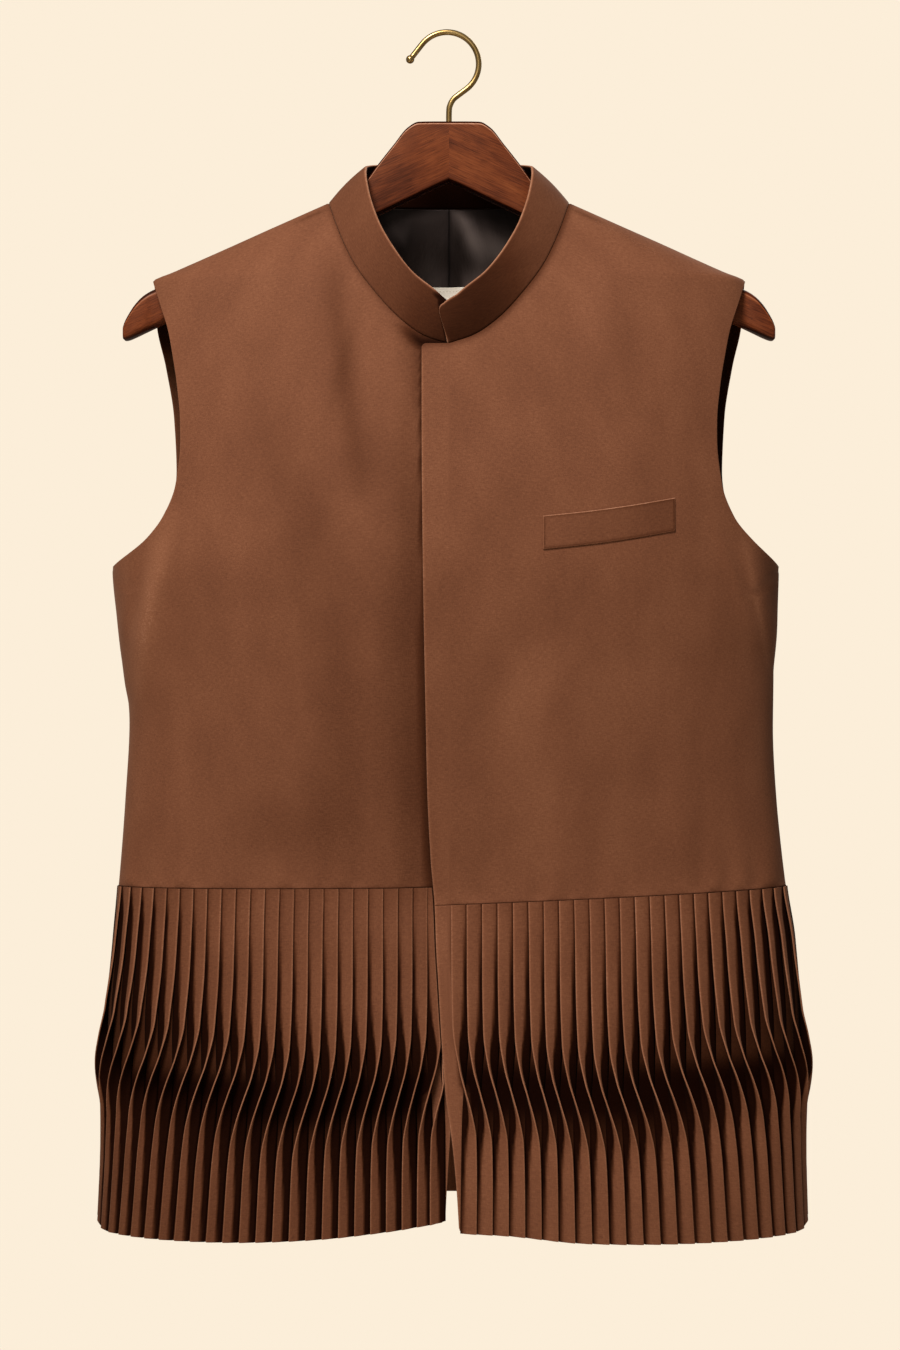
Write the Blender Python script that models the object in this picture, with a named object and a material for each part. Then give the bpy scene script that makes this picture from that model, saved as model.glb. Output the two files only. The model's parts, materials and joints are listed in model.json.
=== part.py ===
"""Sleeveless band-collar jacket with a flared, tucked skirt, on its wooden hanger.

Lengths are in millimetres and become metres as each mesh is made.  +Z is up and
the front faces -Y.  The origin is the top of the inside of the hook, where the
hook bears on a rail.  Right and left are the wearer's, so right is towards -X.
"""
import math
from collections import namedtuple

import bmesh
import bpy
from mathutils import Vector
from mathutils.bvhtree import BVHTree

MM = 0.001
SEAM_GAP = 0.3
NECK_GAP = 0.5          # below the collar
PATCH_GAP = 0.4         # under what lies on a panel
LINING_GAP = 0.5        # between the back and its lining
CAST_FROM = 300.0       # distance in front from which places are laid on a surface
CLOTH = 1.6             # thickness of the body's cloth
SKIRT_CLOTH = 1.2
COLLAR_CLOTH = 2.4
LINING_CLOTH = 1.0
LAP_STEP = 4.2          # how far the under front lies behind the upper one
LAP_BLEND_START = 14.0  # distance from the centre line where that step starts to fade
LAP_BLEND_WIDTH = 22.0
SIDES = {"right": -1, "left": 1}

# Heights on the garment
NECK_POINT_Z = -116.5
TIP_Z = -170.8
UNDERARM_Z = -368.6
HIP_SIDE_Z = -588.5
HIP_FRONT_Z = {"right": -585.5, "left": -597.0}

# Horizontal sections of the garment, from the neck down to the hem
Section = namedtuple("Section", "z right left front back back_power")
SECTIONS = [
    Section(-108.0, 64.0, 64.0, 8.0, 46.0, 2.0),
    Section(-116.5, 83.4, 83.4, 16.0, 48.0, 1.9),
    Section(-138.5, 132.5, 132.5, 32.0, 54.0, 1.5),
    Section(-155.0, 169.4, 169.4, 42.0, 59.0, 1.6),
    Section(-165.0, 191.7, 191.7, 47.0, 61.0, 1.75),
    Section(-170.8, 204.8, 205.0, 50.0, 62.0, 1.85),
    Section(-190.0, 210.0, 210.0, 58.0, 66.0, 1.9),
    Section(-221.0, 217.5, 216.5, 68.0, 72.0, 1.95),
    Section(-260.0, 224.0, 222.0, 77.0, 77.0, 2.0),
    Section(-320.0, 229.5, 226.0, 86.0, 80.0, 2.0),
    Section(-368.6, 232.9, 228.0, 89.0, 78.0, 2.0),
    Section(-404.0, 229.5, 226.5, 87.0, 72.0, 2.0),
    Section(-440.0, 224.0, 224.0, 83.0, 66.0, 2.0),
    Section(-474.0, 221.0, 224.0, 79.0, 61.0, 2.0),
    Section(-529.5, 224.0, 226.5, 72.0, 58.0, 2.0),
    Section(-588.0, 228.5, 233.0, 66.0, 62.0, 2.0),
    Section(-625.0, 232.0, 239.0, 75.0, 67.0, 2.0),
    Section(-677.0, 236.0, 242.5, 90.0, 74.0, 2.0),
    Section(-720.0, 236.2, 242.8, 101.0, 80.0, 2.0),
    Section(-770.0, 238.5, 244.5, 111.0, 85.0, 2.0),
    Section(-826.0, 242.0, 247.0, 118.0, 90.0, 2.0),
]

# Neckline of a front: distance from the centre line, and height
Place = namedtuple("Place", "x z")
FRONT_NECK = [Place(0, -221), Place(16, -215.5), Place(33, -203.5), Place(50.5, -184),
              Place(65, -163), Place(75.5, -139.5), Place(83.4, -116.5)]
BACK_NECK_Z = -112.8

# Armhole edges between the shoulder tip and the underarm point
FRONT_ARMHOLE = [Place(197.5, -191), Place(192, -207), Place(188.7, -222), Place(184.5, -246),
                 Place(182, -271), Place(181.8, -284), Place(185, -314), Place(193.7, -336),
                 Place(207.5, -352)]
BACK_ARMHOLE = [Place(204.5, -198), Place(199.3, -227), Place(194.4, -262), Place(193, -299),
                Place(198, -330), Place(211, -353)]

# Free edge of the upper front, past the centre line, and the hidden edge of the under one
LAP_EDGE = [Place(-18.3, -215), Place(-18.3, -240), Place(-14.7, -513), Place(-12.2, -567),
            Place(-9.6, -597), Place(-8.5, -625), Place(-7.3, -645), Place(-4.7, -688),
            Place(-2.0, -722), Place(1.0, -741), Place(4.8, -777), Place(7.0, -812)]
UNDER_EDGE = [Place(-14, -215), Place(-14, -560), Place(-8, -600), Place(-4, -700),
              Place(0, -760), Place(3.5, -812)]

# Soft folds of the body: a crest or trough between two places on one panel
Fold = namedtuple("Fold", "face side x_top z_top x_low z_low width height")
FOLDS = [
    Fold("front", "right", 200, -350, 226, -462, 9, 4.0),
    Fold("front", "left", 201, -352, 224, -440, 9, 3.5),
    Fold("front", "right", 34, -330, 32, -520, 12, -4.0),
    Fold("front", "right", 88, -150, 104, -250, 12, 2.5),
    Fold("front", "right", 70, -215, 82, -330, 14, -2.0),
    Fold("front", "left", 96, -160, 118, -270, 14, 2.0),
    Fold("front", "left", 60, -420, 92, -560, 20, 2.0),
    Fold("front", "right", 150, -400, 120, -560, 22, 2.0),
    Fold("back", "right", 205, -350, 190, -480, 14, 3.5),
    Fold("back", "left", 204, -352, 196, -500, 14, 3.0),
    Fold("back", "right", 60, -150, 84, -330, 18, -2.0),
    Fold("back", "left", 74, -160, 90, -300, 18, 2.0),
]

# Rows and columns of the body's panels
SHOULDER_ROWS = 3
ARM_ROWS = 8
SIDE_ROWS = 6
ROWS = SHOULDER_ROWS + ARM_ROWS + SIDE_ROWS
FRONT_COLUMNS = 13
BACK_COLUMNS = 11
FRONT_SHARES = [k / FRONT_COLUMNS for k in range(FRONT_COLUMNS)] + [0.965, 1.0]
BACK_SHARES = [k / BACK_COLUMNS for k in range(BACK_COLUMNS)] + [0.96, 1.0]
ARM_ROW_EASE = 0.6      # how much closer the rows are at both ends of an armhole
ARM_SPREAD = 110.0      # keeps the columns by the armhole evenly apart
LINING_COLUMNS = 10
LINING_TOP_DROP = 0.25  # share of the back's first row left bare below the collar
LINING_LOW_LIFT = 0.12  # share of its last row left bare above the hip seam
CENTRE_DROP_AT_UNDERARM = 0.56

# Stand collar: its top edge, as distance from the centre line, depth and height
Rim = namedtuple("Rim", "x y z")
COLLAR_TOP = [Rim(0, -76, -194.1), Rim(10, -74, -185), Rim(25, -67, -171.9),
              Rim(40.2, -55.5, -150.7), Rim(49.3, -43, -131.9), Rim(56.1, -24, -107.4),
              Rim(57.7, -10.5, -95.4), Rim(57.5, 0, -90.5)]
COLLAR_BACK_Y = 38
COLLAR_BACK_Z = -82.5
COLLAR_UNDER_END = 9.0
COLLAR_OVER_END = 3.0
COLLAR_CROWN = 1.2
MITRE_WIDEN = 1.05      # the place below the neckline that gives the body's direction there
MITRE_DROP = 5.0
MITRE_SHARE = 0.03
MITRE_UP = 25.0         # how far the outward side of the neckline faces up
Level = namedtuple("Level", "rise end_x end_z")
COLLAR_LEVELS = [Level(0.0, 1.8, 0.0), Level(0.35, -0.4, 0.0), Level(0.75, -3.4, -1.0),
                 Level(1.0, -0.6, -2.4)]

# Skirt tucks: upright fins that lean to the centre at the seam and outwards at the hem
TUCKS = 24
TUCK_HEIGHT = 9.4
TUCK_FLAT_HEIGHT = 2.1
TUCK_HALF_WIDTH = 0.65
TUCK_ROOT = 4.8         # how much wider the root is on the upper side of a leaning fin
FIRST_TUCK = {("front", "right"): 13.5, ("front", "left"): 10.5,
              ("back", "right"): 5.6, ("back", "left"): 5.6}
LAST_TUCK = 5.8         # from the side seam
EDGE_CLEARANCE = 0.9
Flare = namedtuple("Flare", "z power")          # how much of the flare goes to the side
FLARES = [Flare(-590, 6.0), Flare(-665, 5.0), Flare(-760, 2.4), Flare(-826, 2.0)]
Turn = namedtuple("Turn", "share rise")         # how much higher a fin turns over, by its share of the seam
TURNS = [Turn(0.0, 6.0), Turn(0.2, 0.0), Turn(0.4, -9.0), Turn(0.55, -3.0), Turn(0.7, 5.0), Turn(1.0, 12.0)]
LENGTH_STEPS = 60       # chords in the measured length of a level
Lean = namedtuple("Lean", "z lean")
LEANS = [Lean(-585, -0.98), Lean(-645, -0.96), Lean(-685, -0.84), Lean(-706, -0.45), Lean(-722, 0.0),
         Lean(-738, 0.45), Lean(-756, 0.82), Lean(-785, 0.95), Lean(-826, 0.98)]
SKIRT_LEVELS = [-640.0, -682.0, -704.0, -722.0, -740.0, -768.0]
Hem = namedtuple("Hem", "share right left back")
HEM = [Hem(0.0, -801, -807, -816), Hem(0.15, -806, -809, -816), Hem(0.35, -812.5, -815, -818),
       Hem(0.6, -817.5, -818.5, -820), Hem(0.965, -822, -822, -822),
       Hem(0.988, -820.4, -820.4, -820.4), Hem(1.0, -815.5, -815.5, -815.5)]

# Slanted welt on the left chest
WELT_INNER = Place(62.5, -348.5)
WELT_OUTER = Place(150.5, -335.8)
WELT_HEIGHT = 22.5
WELT_BOW = -1.1
WELT_CLOTH = 1.8
WELT_COLUMNS = 9
WELT_RISES = (0.5, 0.0, -0.5)

# Blank label on the lining
LABEL_WIDTH = 60.0
LABEL_TOP_Z = -167.0
LABEL_HEIGHT = 30.0
LABEL_CLOTH = 0.6
LABEL_ROWS = 3
LABEL_COLUMNS = 8

# Wooden hanger
Beam = namedtuple("Beam", "x top bottom half_depth bevel")
HANGER = [
    Beam(0.15, -60.8, -101.6, 8.0, 2.6), Beam(10, -60.8, -105.9, 8.0, 2.6),
    Beam(21, -61.0, -111.2, 8.0, 2.6), Beam(28.5, -65.0, -114.8, 8.0, 2.6),
    Beam(38, -76.6, -119.3, 8.0, 2.6), Beam(49.5, -91.2, -124.8, 8.0, 2.6),
    Beam(57, -101.4, -128.6, 7.6, 2.6), Beam(70, -115.2, -135.3, 7.2, 2.6),
    Beam(84, -124.6, -142.4, 7.4, 2.6), Beam(110, -136.4, -155.6, 7.8, 3.0),
    Beam(140, -149.8, -170.8, 8.4, 3.4), Beam(170, -163.2, -186.1, 9.0, 4.0),
    Beam(195, -175.0, -198.8, 8.4, 4.8), Beam(204, -179.0, -203.2, 7.8, 4.8),
    Beam(213.5, -182.0, -207.0, 8.8, 4.6), Beam(219.5, -187.8, -209.2, 9.0, 4.4),
    Beam(223.4, -196.4, -209.6, 8.2, 3.8),
]
SHANK_HOLE_DEPTH = 26.0

# Hook
WIRE_RADIUS = 2.0
HOOK_RADIUS = 22.0      # of the wire's centre line
HOOK_X = -1.4           # middle of the arc
BALL_RADIUS = 3.0
BALL_STEPS = 7
BALL_END = 0.96         # share of a half turn at which the ball is closed
HOOK_FROM = -56         # degrees round the arc, from +X
HOOK_TO = 142
HOOK_STEPS = 20
HOOK_SHANK = [Place(0.0, -86.0), Place(0.0, -66.0), Place(0.0, -54.0), Place(0.6, -49.0),
              Place(3.0, -44.5), Place(6.8, -41.3)]
HOOK_TIP = Place(-25.6, -15.2)


def steady_curve(rows, key, value, at):
    """Value of a table column at a key, on a smooth curve that never overshoots."""
    points = sorted((getattr(row, key), getattr(row, value)) for row in rows)
    if at <= points[0][0]:
        return points[0][1]
    if at >= points[-1][0]:
        return points[-1][1]
    steps = [(b[1] - a[1]) / (b[0] - a[0]) for a, b in zip(points, points[1:])]

    def slope(i):
        if i == 0:
            return steps[0]
        if i == len(points) - 1:
            return steps[-1]
        before, after = steps[i - 1], steps[i]
        return 0.0 if before * after <= 0 else 2 * before * after / (before + after)

    i = max(k for k in range(len(points) - 1) if points[k][0] <= at)
    width = points[i + 1][0] - points[i][0]
    t = (at - points[i][0]) / width
    return ((2 * t ** 3 - 3 * t ** 2 + 1) * points[i][1] + (t ** 3 - 2 * t ** 2 + t) * width * slope(i)
            + (3 * t ** 2 - 2 * t ** 3) * points[i + 1][1] + (t ** 3 - t ** 2) * width * slope(i + 1))


def mix(a, b, t):
    return a + (b - a) * t


def smooth(t):
    t = min(max(t, 0.0), 1.0)
    return t * t * (3 - 2 * t)


def along(points, share):
    """Point at a share of a polyline's length."""
    lengths = [(b - a).length for a, b in zip(points, points[1:])]
    target = share * sum(lengths)
    for a, b, length in zip(points, points[1:], lengths):
        if target <= length:
            return a.lerp(b, target / length)
        target -= length
    return points[-1].copy()


# The garment's surface

def half_width(side, z):
    return steady_curve(SECTIONS, "z", side, z)


def fold_height(face, side, x, z):
    """How far the cloth stands out of its plain section at a place."""
    height = 0.0
    for fold in FOLDS:
        if (fold.face, fold.side) != (face, side):
            continue
        run = Vector((fold.x_low - fold.x_top, fold.z_low - fold.z_top))
        place = Vector((x - fold.x_top, z - fold.z_top))
        t = place.dot(run) / run.length_squared
        if not 0 < t < 1:
            continue
        off = (place - run * t).length / fold.width
        height += fold.height * math.sin(math.pi * t) * math.exp(-off * off)
    return height


def lap(face, side, x):
    """Step back of the under front and its skirt, behind the upper ones."""
    if (face, side) != ("front", "right"):
        return 0.0
    return LAP_STEP * (1 - smooth((x - LAP_BLEND_START) / LAP_BLEND_WIDTH))


def section_point(face, side, x, z, out=0.0):
    """Point of the outer surface at a distance x from the centre line and a height z."""
    width = half_width(side, z)
    depth = steady_curve(SECTIONS, "z", face, z)
    power = steady_curve(SECTIONS, "z", "back_power", z) if face == "back" else 2.0
    across = min(abs(x) / width, 1.0)
    deep = (1 - across ** power) ** (1 / power)
    normal = Vector((math.copysign(across ** (power - 1), x) / width, deep ** (power - 1) / depth))
    normal.normalize()
    out += fold_height(face, side, x, z) - lap(face, side, x)
    front = -1 if face == "front" else 1
    return Vector((SIDES[side] * (x + normal.x * out), front * (depth * deep + normal.y * out), z))


def neck_place(face, share):
    """Place on the neckline: share 0 at the centre line, 1 at the shoulder."""
    if face == "back":
        z = mix(BACK_NECK_Z, NECK_POINT_Z, share ** 2)
        return Place(half_width("left", z) * math.sin(share * math.pi / 2), z)
    spot = along([Vector((row.x, row.z)) for row in FRONT_NECK], share)
    return Place(spot.x, spot.y)


def neck_point(face, side, share, past=0.0):
    """Point on the neckline; past is a distance beyond the centre line."""
    place = neck_place(face, share)
    return section_point(face, side, place.x - past, place.z)


def collar_rim(face, side, share, past=0.0):
    """Top edge of the collar above the neckline's point at the same share."""
    end = COLLAR_TOP[-1]
    if face == "back":
        turn = share * math.pi / 2
        return Vector((SIDES[side] * end.x * math.sin(turn), COLLAR_BACK_Y * math.cos(turn),
                       mix(COLLAR_BACK_Z, end.z, share ** 2)))
    rim = along([Vector(row) for row in COLLAR_TOP], share)
    rim.x -= past
    rim.y += lap(face, side, rim.x)
    rim.x *= SIDES[side]
    return rim


def neck_mitre(face, side, share, past=0.0):
    """Outward direction halfway between the body's and the collar's, where they are sewn."""
    base = neck_point(face, side, share, past)
    place = neck_place(face, share)
    below = section_point(face, side, (place.x - past) * MITRE_WIDEN, place.z - MITRE_DROP) - base
    if past:
        run = Vector((SIDES[side], 0, 0))
    elif share == 1:
        run = Vector((0, 1, 0))
        below = Vector((SIDES[side] * (half_width(side, place.z - MITRE_DROP) - place.x), 0, -MITRE_DROP))
    else:
        before = neck_point(face, side, max(share - MITRE_SHARE, 0))
        run = neck_point(face, side, share + MITRE_SHARE) - before
    above = collar_rim(face, side, share, past) - base
    mitre = Vector()
    for edge in (below, above):
        normal = run.cross(edge).normalized()
        if normal.dot(Vector((base.x, base.y, MITRE_UP))) < 0:
            normal.negate()
        mitre += normal
    if share == 0 and not past:
        mitre.x = 0.0
    if share == 1:
        mitre.y = 0.0
    return mitre.normalized()


# Making meshes

def material(name, color, roughness, metallic=0.0):
    made = bpy.data.materials.new(name)
    made.use_nodes = True
    shader = made.node_tree.nodes["Principled BSDF"]
    shader.inputs["Base Color"].default_value = (*color, 1.0)
    shader.inputs["Roughness"].default_value = roughness
    shader.inputs["Metallic"].default_value = metallic
    return made


def add_object(name, data, look):
    piece = bpy.data.objects.new(name, data)
    bpy.context.scene.collection.objects.link(piece)
    piece.parent = bpy.data.objects["jacket"]
    data.materials.append(look)
    return piece


def mesh_from(name, points, faces):
    bm = bmesh.new()
    verts = [bm.verts.new(point * MM) for point in points]
    for face in faces:
        bm.faces.new([verts[i] for i in face])
    bmesh.ops.recalc_face_normals(bm, faces=bm.faces)
    mesh = bpy.data.meshes.new(name)
    bm.to_mesh(mesh)
    bm.free()
    mesh.shade_smooth()
    mesh.set_sharp_from_angle(angle=math.radians(40))
    return mesh


def grid_normals(grid):
    """Outward direction at each point of a grid of points around the Z axis."""
    rows, columns = len(grid), len(grid[0])
    normals = []
    outward = 0.0
    for i in range(rows):
        line = []
        for j in range(columns):
            down = grid[min(i + 1, rows - 1)][j] - grid[max(i - 1, 0)][j]
            across = grid[i][min(j + 1, columns - 1)] - grid[i][max(j - 1, 0)]
            normal = down.cross(across).normalized()
            outward += normal.dot(Vector((grid[i][j].x, grid[i][j].y, 0)))
            line.append(normal)
        normals.append(line)
    if outward < 0:
        normals = [[-normal for normal in line] for line in normals]
    return normals


def moved(grid, normals, out):
    """The grid's points moved along their outward directions."""
    return [[point + normal * out for point, normal in zip(line, turned)]
            for line, turned in zip(grid, normals)]


def wall(name, grid, thickness, normals=None):
    """A closed wall: the grid of outer points, its inner copy and the rim around them."""
    inside = moved(grid, normals or grid_normals(grid), -thickness)
    rows, columns = len(grid), len(grid[0])
    points = [point for line in grid + inside for point in line]
    count = rows * columns
    faces = []
    for i in range(rows - 1):
        for j in range(columns - 1):
            a = i * columns + j
            for facet in ((a, a + 1, a + columns + 1), (a, a + columns + 1, a + columns)):
                faces.append(facet)
                faces.append(tuple(k + count for k in reversed(facet)))
    rim = list(range(columns)) + [i * columns + columns - 1 for i in range(1, rows)]
    rim += [(rows - 1) * columns + j for j in range(columns - 2, -1, -1)]
    rim += [i * columns for i in range(rows - 2, 0, -1)]
    for a, b in zip(rim, rim[1:] + rim[:1]):
        faces.append((b, a, a + count, b + count))
    return mesh_from(name, points, faces)


# Body panels

def hip_z(face, side, x):
    """Height of the hip seam, which runs straight from the centre to the side."""
    if face == "back":
        return HIP_SIDE_Z
    return mix(HIP_FRONT_Z[side], HIP_SIDE_Z, x / half_width(side, HIP_SIDE_Z))


def outer_place(face, side, row):
    """Outer edge of a panel by row: shoulder seam, armhole and side seam."""
    if row <= SHOULDER_ROWS:
        z = mix(NECK_POINT_Z, TIP_Z, row / SHOULDER_ROWS)
        return Place(half_width(side, z), z)
    if row < SHOULDER_ROWS + ARM_ROWS:
        share = (row - SHOULDER_ROWS) / ARM_ROWS
        z = mix(TIP_Z, UNDERARM_Z, mix(share, smooth(share), ARM_ROW_EASE))
        edge = FRONT_ARMHOLE if face == "front" else BACK_ARMHOLE
        ends = [Place(half_width(side, level), level) for level in (TIP_Z, UNDERARM_Z)]
        return Place(steady_curve(edge + ends, "z", "x", z), z)
    z = mix(UNDERARM_Z, HIP_SIDE_Z, (row - SHOULDER_ROWS - ARM_ROWS) / SIDE_ROWS)
    return Place(half_width(side, z), z)


def centre_drop(face, side, row):
    """How far down its centre edge a row starts."""
    if face == "back":
        return (outer_place(face, side, row).z - NECK_POINT_Z) / (HIP_SIDE_Z - NECK_POINT_Z)
    arm_end = SHOULDER_ROWS + ARM_ROWS
    if row <= arm_end:
        return CENTRE_DROP_AT_UNDERARM * row / arm_end
    return mix(CENTRE_DROP_AT_UNDERARM, 1.0, (row - arm_end) / SIDE_ROWS)


def panel_place(face, side, row, share):
    """Place of a panel's grid point, between its centre line and its outer edge."""
    neck = neck_place(face, share)
    outer = outer_place(face, side, row)
    turn = math.sin(share * math.pi / 2)
    drop_outer = (outer.z - NECK_POINT_Z) / (HIP_SIDE_Z - NECK_POINT_Z)
    drop = mix(centre_drop(face, side, row), drop_outer, share)
    z = mix(neck.z, hip_z(face, side, half_width(side, HIP_SIDE_Z) * turn), drop)
    if row >= SHOULDER_ROWS + ARM_ROWS:
        return Place(half_width(side, z) * turn, z)
    width = half_width(side, UNDERARM_Z)
    fan_outer = (outer.x - FRONT_NECK[-1].x) / (width - FRONT_NECK[-1].x)
    fan_inner = 1 - (1 - row / (SHOULDER_ROWS + ARM_ROWS)) ** 2
    x = mix(neck.x, width * turn, mix(fan_inner, fan_outer, share ** 1.5))
    if row > SHOULDER_ROWS:
        x = min(x, outer.x - ARM_SPREAD * (1 - share))
    return Place(x, z)


def free_edge(side, z):
    """Distance of a front's free edge from the centre line."""
    return steady_curve(LAP_EDGE if side == "left" else UNDER_EDGE, "z", "x", z)


def seam_rows(row):
    """Whether a row's outer end lies on the shoulder or side seam."""
    return row <= SHOULDER_ROWS or row >= SHOULDER_ROWS + ARM_ROWS


def panel_grid(face, side):
    """Outer points of a panel, and the directions in which its wall grows."""
    shares = FRONT_SHARES if face == "front" else BACK_SHARES
    grid = []
    for row in range(ROWS + 1):
        line = []
        if face == "front":
            place = panel_place(face, side, row, 0.0)
            edge = free_edge(side, place.z)
            z = hip_z(face, side, edge) if row == ROWS else place.z
            line.append(section_point(face, side, edge, z))
        for share in shares:
            place = panel_place(face, side, row, share)
            line.append(section_point(face, side, place.x, place.z))
        grid.append(line)
    normals = grid_normals(grid)
    lead = len(grid[0]) - len(shares)
    if lead:
        normals[0][0] = neck_mitre(face, side, 0.0, -free_edge(side, FRONT_NECK[0].z))
    for j, share in enumerate(shares):
        normals[0][j + lead] = neck_mitre(face, side, share)
    for i in range(ROWS + 1):
        if face == "back":
            normals[i][0].x = 0.0
            normals[i][0].normalize()
        if seam_rows(i) and i > 0:
            above = grid[i if i == SHOULDER_ROWS + ARM_ROWS else i - 1][-1]
            below = grid[i if i == SHOULDER_ROWS else min(i + 1, ROWS)][-1]
            run = below - above
            normals[i][-1] = Vector((-run.z * SIDES[side], 0.0, run.x * SIDES[side])).normalized()
    return grid, normals


def body_panel(face, side):
    grid, normals = panel_grid(face, side)
    part_seams(grid, face, side)
    return wall(f"{face}_{side}", grid, CLOTH, normals)


def part_seams(grid, face, side):
    """Half the seam gap at the shoulder, side and hip, at the centre back and below the collar."""
    front = -1 if face == "front" else 1
    for j, point in enumerate(grid[0]):
        point += (grid[1][j] - point).normalized() * NECK_GAP
    for i, line in enumerate(grid):
        if face == "back":
            line[0].x = SIDES[side] * SEAM_GAP / 2
        if seam_rows(i):
            line[-1].y = front * SEAM_GAP / 2
    for point in grid[-1]:
        point.z += SEAM_GAP / 2


# Collar

def collar_stations():
    """Face, side, share and distance past the centre, from the under end to the upper end."""
    around = [("front", share) for share in FRONT_SHARES] + [("back", share) for share in BACK_SHARES[-2::-1]]
    stations = [("front", "right", 0.0, COLLAR_UNDER_END)]
    stations += [(face, "right", share, 0.0) for face, share in around]
    stations += [(face, "left", share, 0.0) for face, share in reversed(around[:-1])]
    return stations + [("front", "left", 0.0, COLLAR_OVER_END)]


def collar():
    columns = []
    mitres = []
    for face, side, share, past in collar_stations():
        base = neck_point(face, side, share, past)
        rim = collar_rim(face, side, share, past)
        mitre = neck_mitre(face, side, share, past)
        column = []
        for level in COLLAR_LEVELS:
            point = base.lerp(rim, level.rise) + mitre * COLLAR_CROWN * math.sin(math.pi * level.rise)
            if (side, past) == ("left", COLLAR_OVER_END):
                point += Vector((level.end_x, 0, level.end_z))
            column.append(point)
        columns.append(column)
        mitres.append(mitre)
    grid = [[column[k] for column in columns] for k in range(len(COLLAR_LEVELS))]
    normals = grid_normals(grid)
    normals[0] = mitres
    return wall("collar", grid, COLLAR_CLOTH, normals)


# Skirt

class SkirtRow:
    """One level of a skirt panel, measured along the cloth from the centre line."""

    def __init__(self, face, side, level):
        self.face, self.side, self.level = face, side, level
        z = self.z_at(half_width(side, HIP_SIDE_Z))
        width = half_width(side, z)
        self.line = [section_point(face, side, width * math.sin(k / LENGTH_STEPS * math.pi / 2), z)
                     for k in range(LENGTH_STEPS + 1)]
        self.length = sum((b - a).length for a, b in zip(self.line, self.line[1:]))

    def z_at(self, x):
        """Height of this level: the seam first, then the middle levels, then the hem."""
        if self.level == 0:
            return hip_z(self.face, self.side, x) - SEAM_GAP / 2
        if self.level > len(SKIRT_LEVELS):
            share = x / half_width(self.side, SECTIONS[-1].z)
            return steady_curve(HEM, "share", "back" if self.face == "back" else self.side, share)
        return SKIRT_LEVELS[self.level - 1]

    def x_at(self, distance):
        if distance <= 0:
            return distance
        return abs(along(self.line, min(distance / self.length, 1.0)).x)

    def point(self, distance, out=0.0):
        """Outer point at a distance along the cloth, moved out of the surface."""
        x = self.x_at(distance)
        return section_point(self.face, self.side, x, self.z_at(x), out)


def tuck_share(seam_row, k):
    """Share of the hip seam between the centre line and a tuck."""
    return mix(FIRST_TUCK[seam_row.face, seam_row.side], seam_row.length - LAST_TUCK,
               k / (TUCKS - 1)) / seam_row.length


def tuck_root(row, seam_row, share):
    """Distance of a tuck's root from the centre line; most of the flare goes to the side."""
    power = steady_curve(FLARES, "z", "power", row.z_at(0.0))
    return share * seam_row.length + (row.length - seam_row.length) * share ** power


def tuck_points(row, root, share, low_limit, high_limit):
    """Root, tip, tip and root of one fin at one level."""
    rise = steady_curve(TURNS, "share", "rise", share)
    lean = steady_curve(LEANS, "z", "lean", row.z_at(row.x_at(root)) - rise)
    upright = math.sqrt(1 - lean * lean)
    shift = min(max(TUCK_HEIGHT * lean, low_limit - root), high_limit - root)
    height = max(TUCK_HEIGHT * upright, TUCK_FLAT_HEIGHT)
    tip = root + shift
    half = TUCK_HALF_WIDTH
    near_root = root - half - TUCK_ROOT * max(shift, 0) / TUCK_HEIGHT
    far_root = root + half + TUCK_ROOT * max(-shift, 0) / TUCK_HEIGHT
    return [row.point(near_root), row.point(tip - half * upright, height + half * lean),
            row.point(tip + half * upright, height - half * lean), row.point(far_root)]


def skirt_line(row, seam_row):
    """Outer and inner points of one level of a skirt panel."""
    face, side = row.face, row.side
    middle_z = row.z_at(0.0)
    edge = free_edge(side, middle_z) if face == "front" else 0.0
    low_limit = edge
    if (face, side) == ("front", "right"):
        low_limit = max(edge, -free_edge("left", middle_z))
    outer = [row.point(edge)]
    inner = [row.point(edge, -SKIRT_CLOTH)]
    for k in range(TUCKS):
        share = tuck_share(seam_row, k)
        root = tuck_root(row, seam_row, share)
        outer += tuck_points(row, root, share, low_limit + EDGE_CLEARANCE, row.length - EDGE_CLEARANCE)
        inner.append(row.point(root, -SKIRT_CLOTH))
    outer.append(row.point(row.length))
    inner.append(row.point(row.length, -SKIRT_CLOTH))
    for line in (outer, inner):
        line[-1].y = (-1 if face == "front" else 1) * SEAM_GAP / 2
        if face == "back":
            line[0].x = SIDES[side] * SEAM_GAP / 2
    return outer + inner


def tuck_caps(inner_start):
    """Faces that close the skirt's wall and fins at its top or bottom edge."""
    caps = []
    for k in range(TUCKS + 1):
        left, right = 4 * k, 4 * k + 1
        caps.append((left, right, inner_start + k + 1, inner_start + k))
        if k < TUCKS:
            root, tip, tip_far, root_far = range(right, right + 4)
            caps.append((root, tip, tip_far, root_far))
            caps.append((inner_start + k + 1, root, root_far))
    return caps


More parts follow.
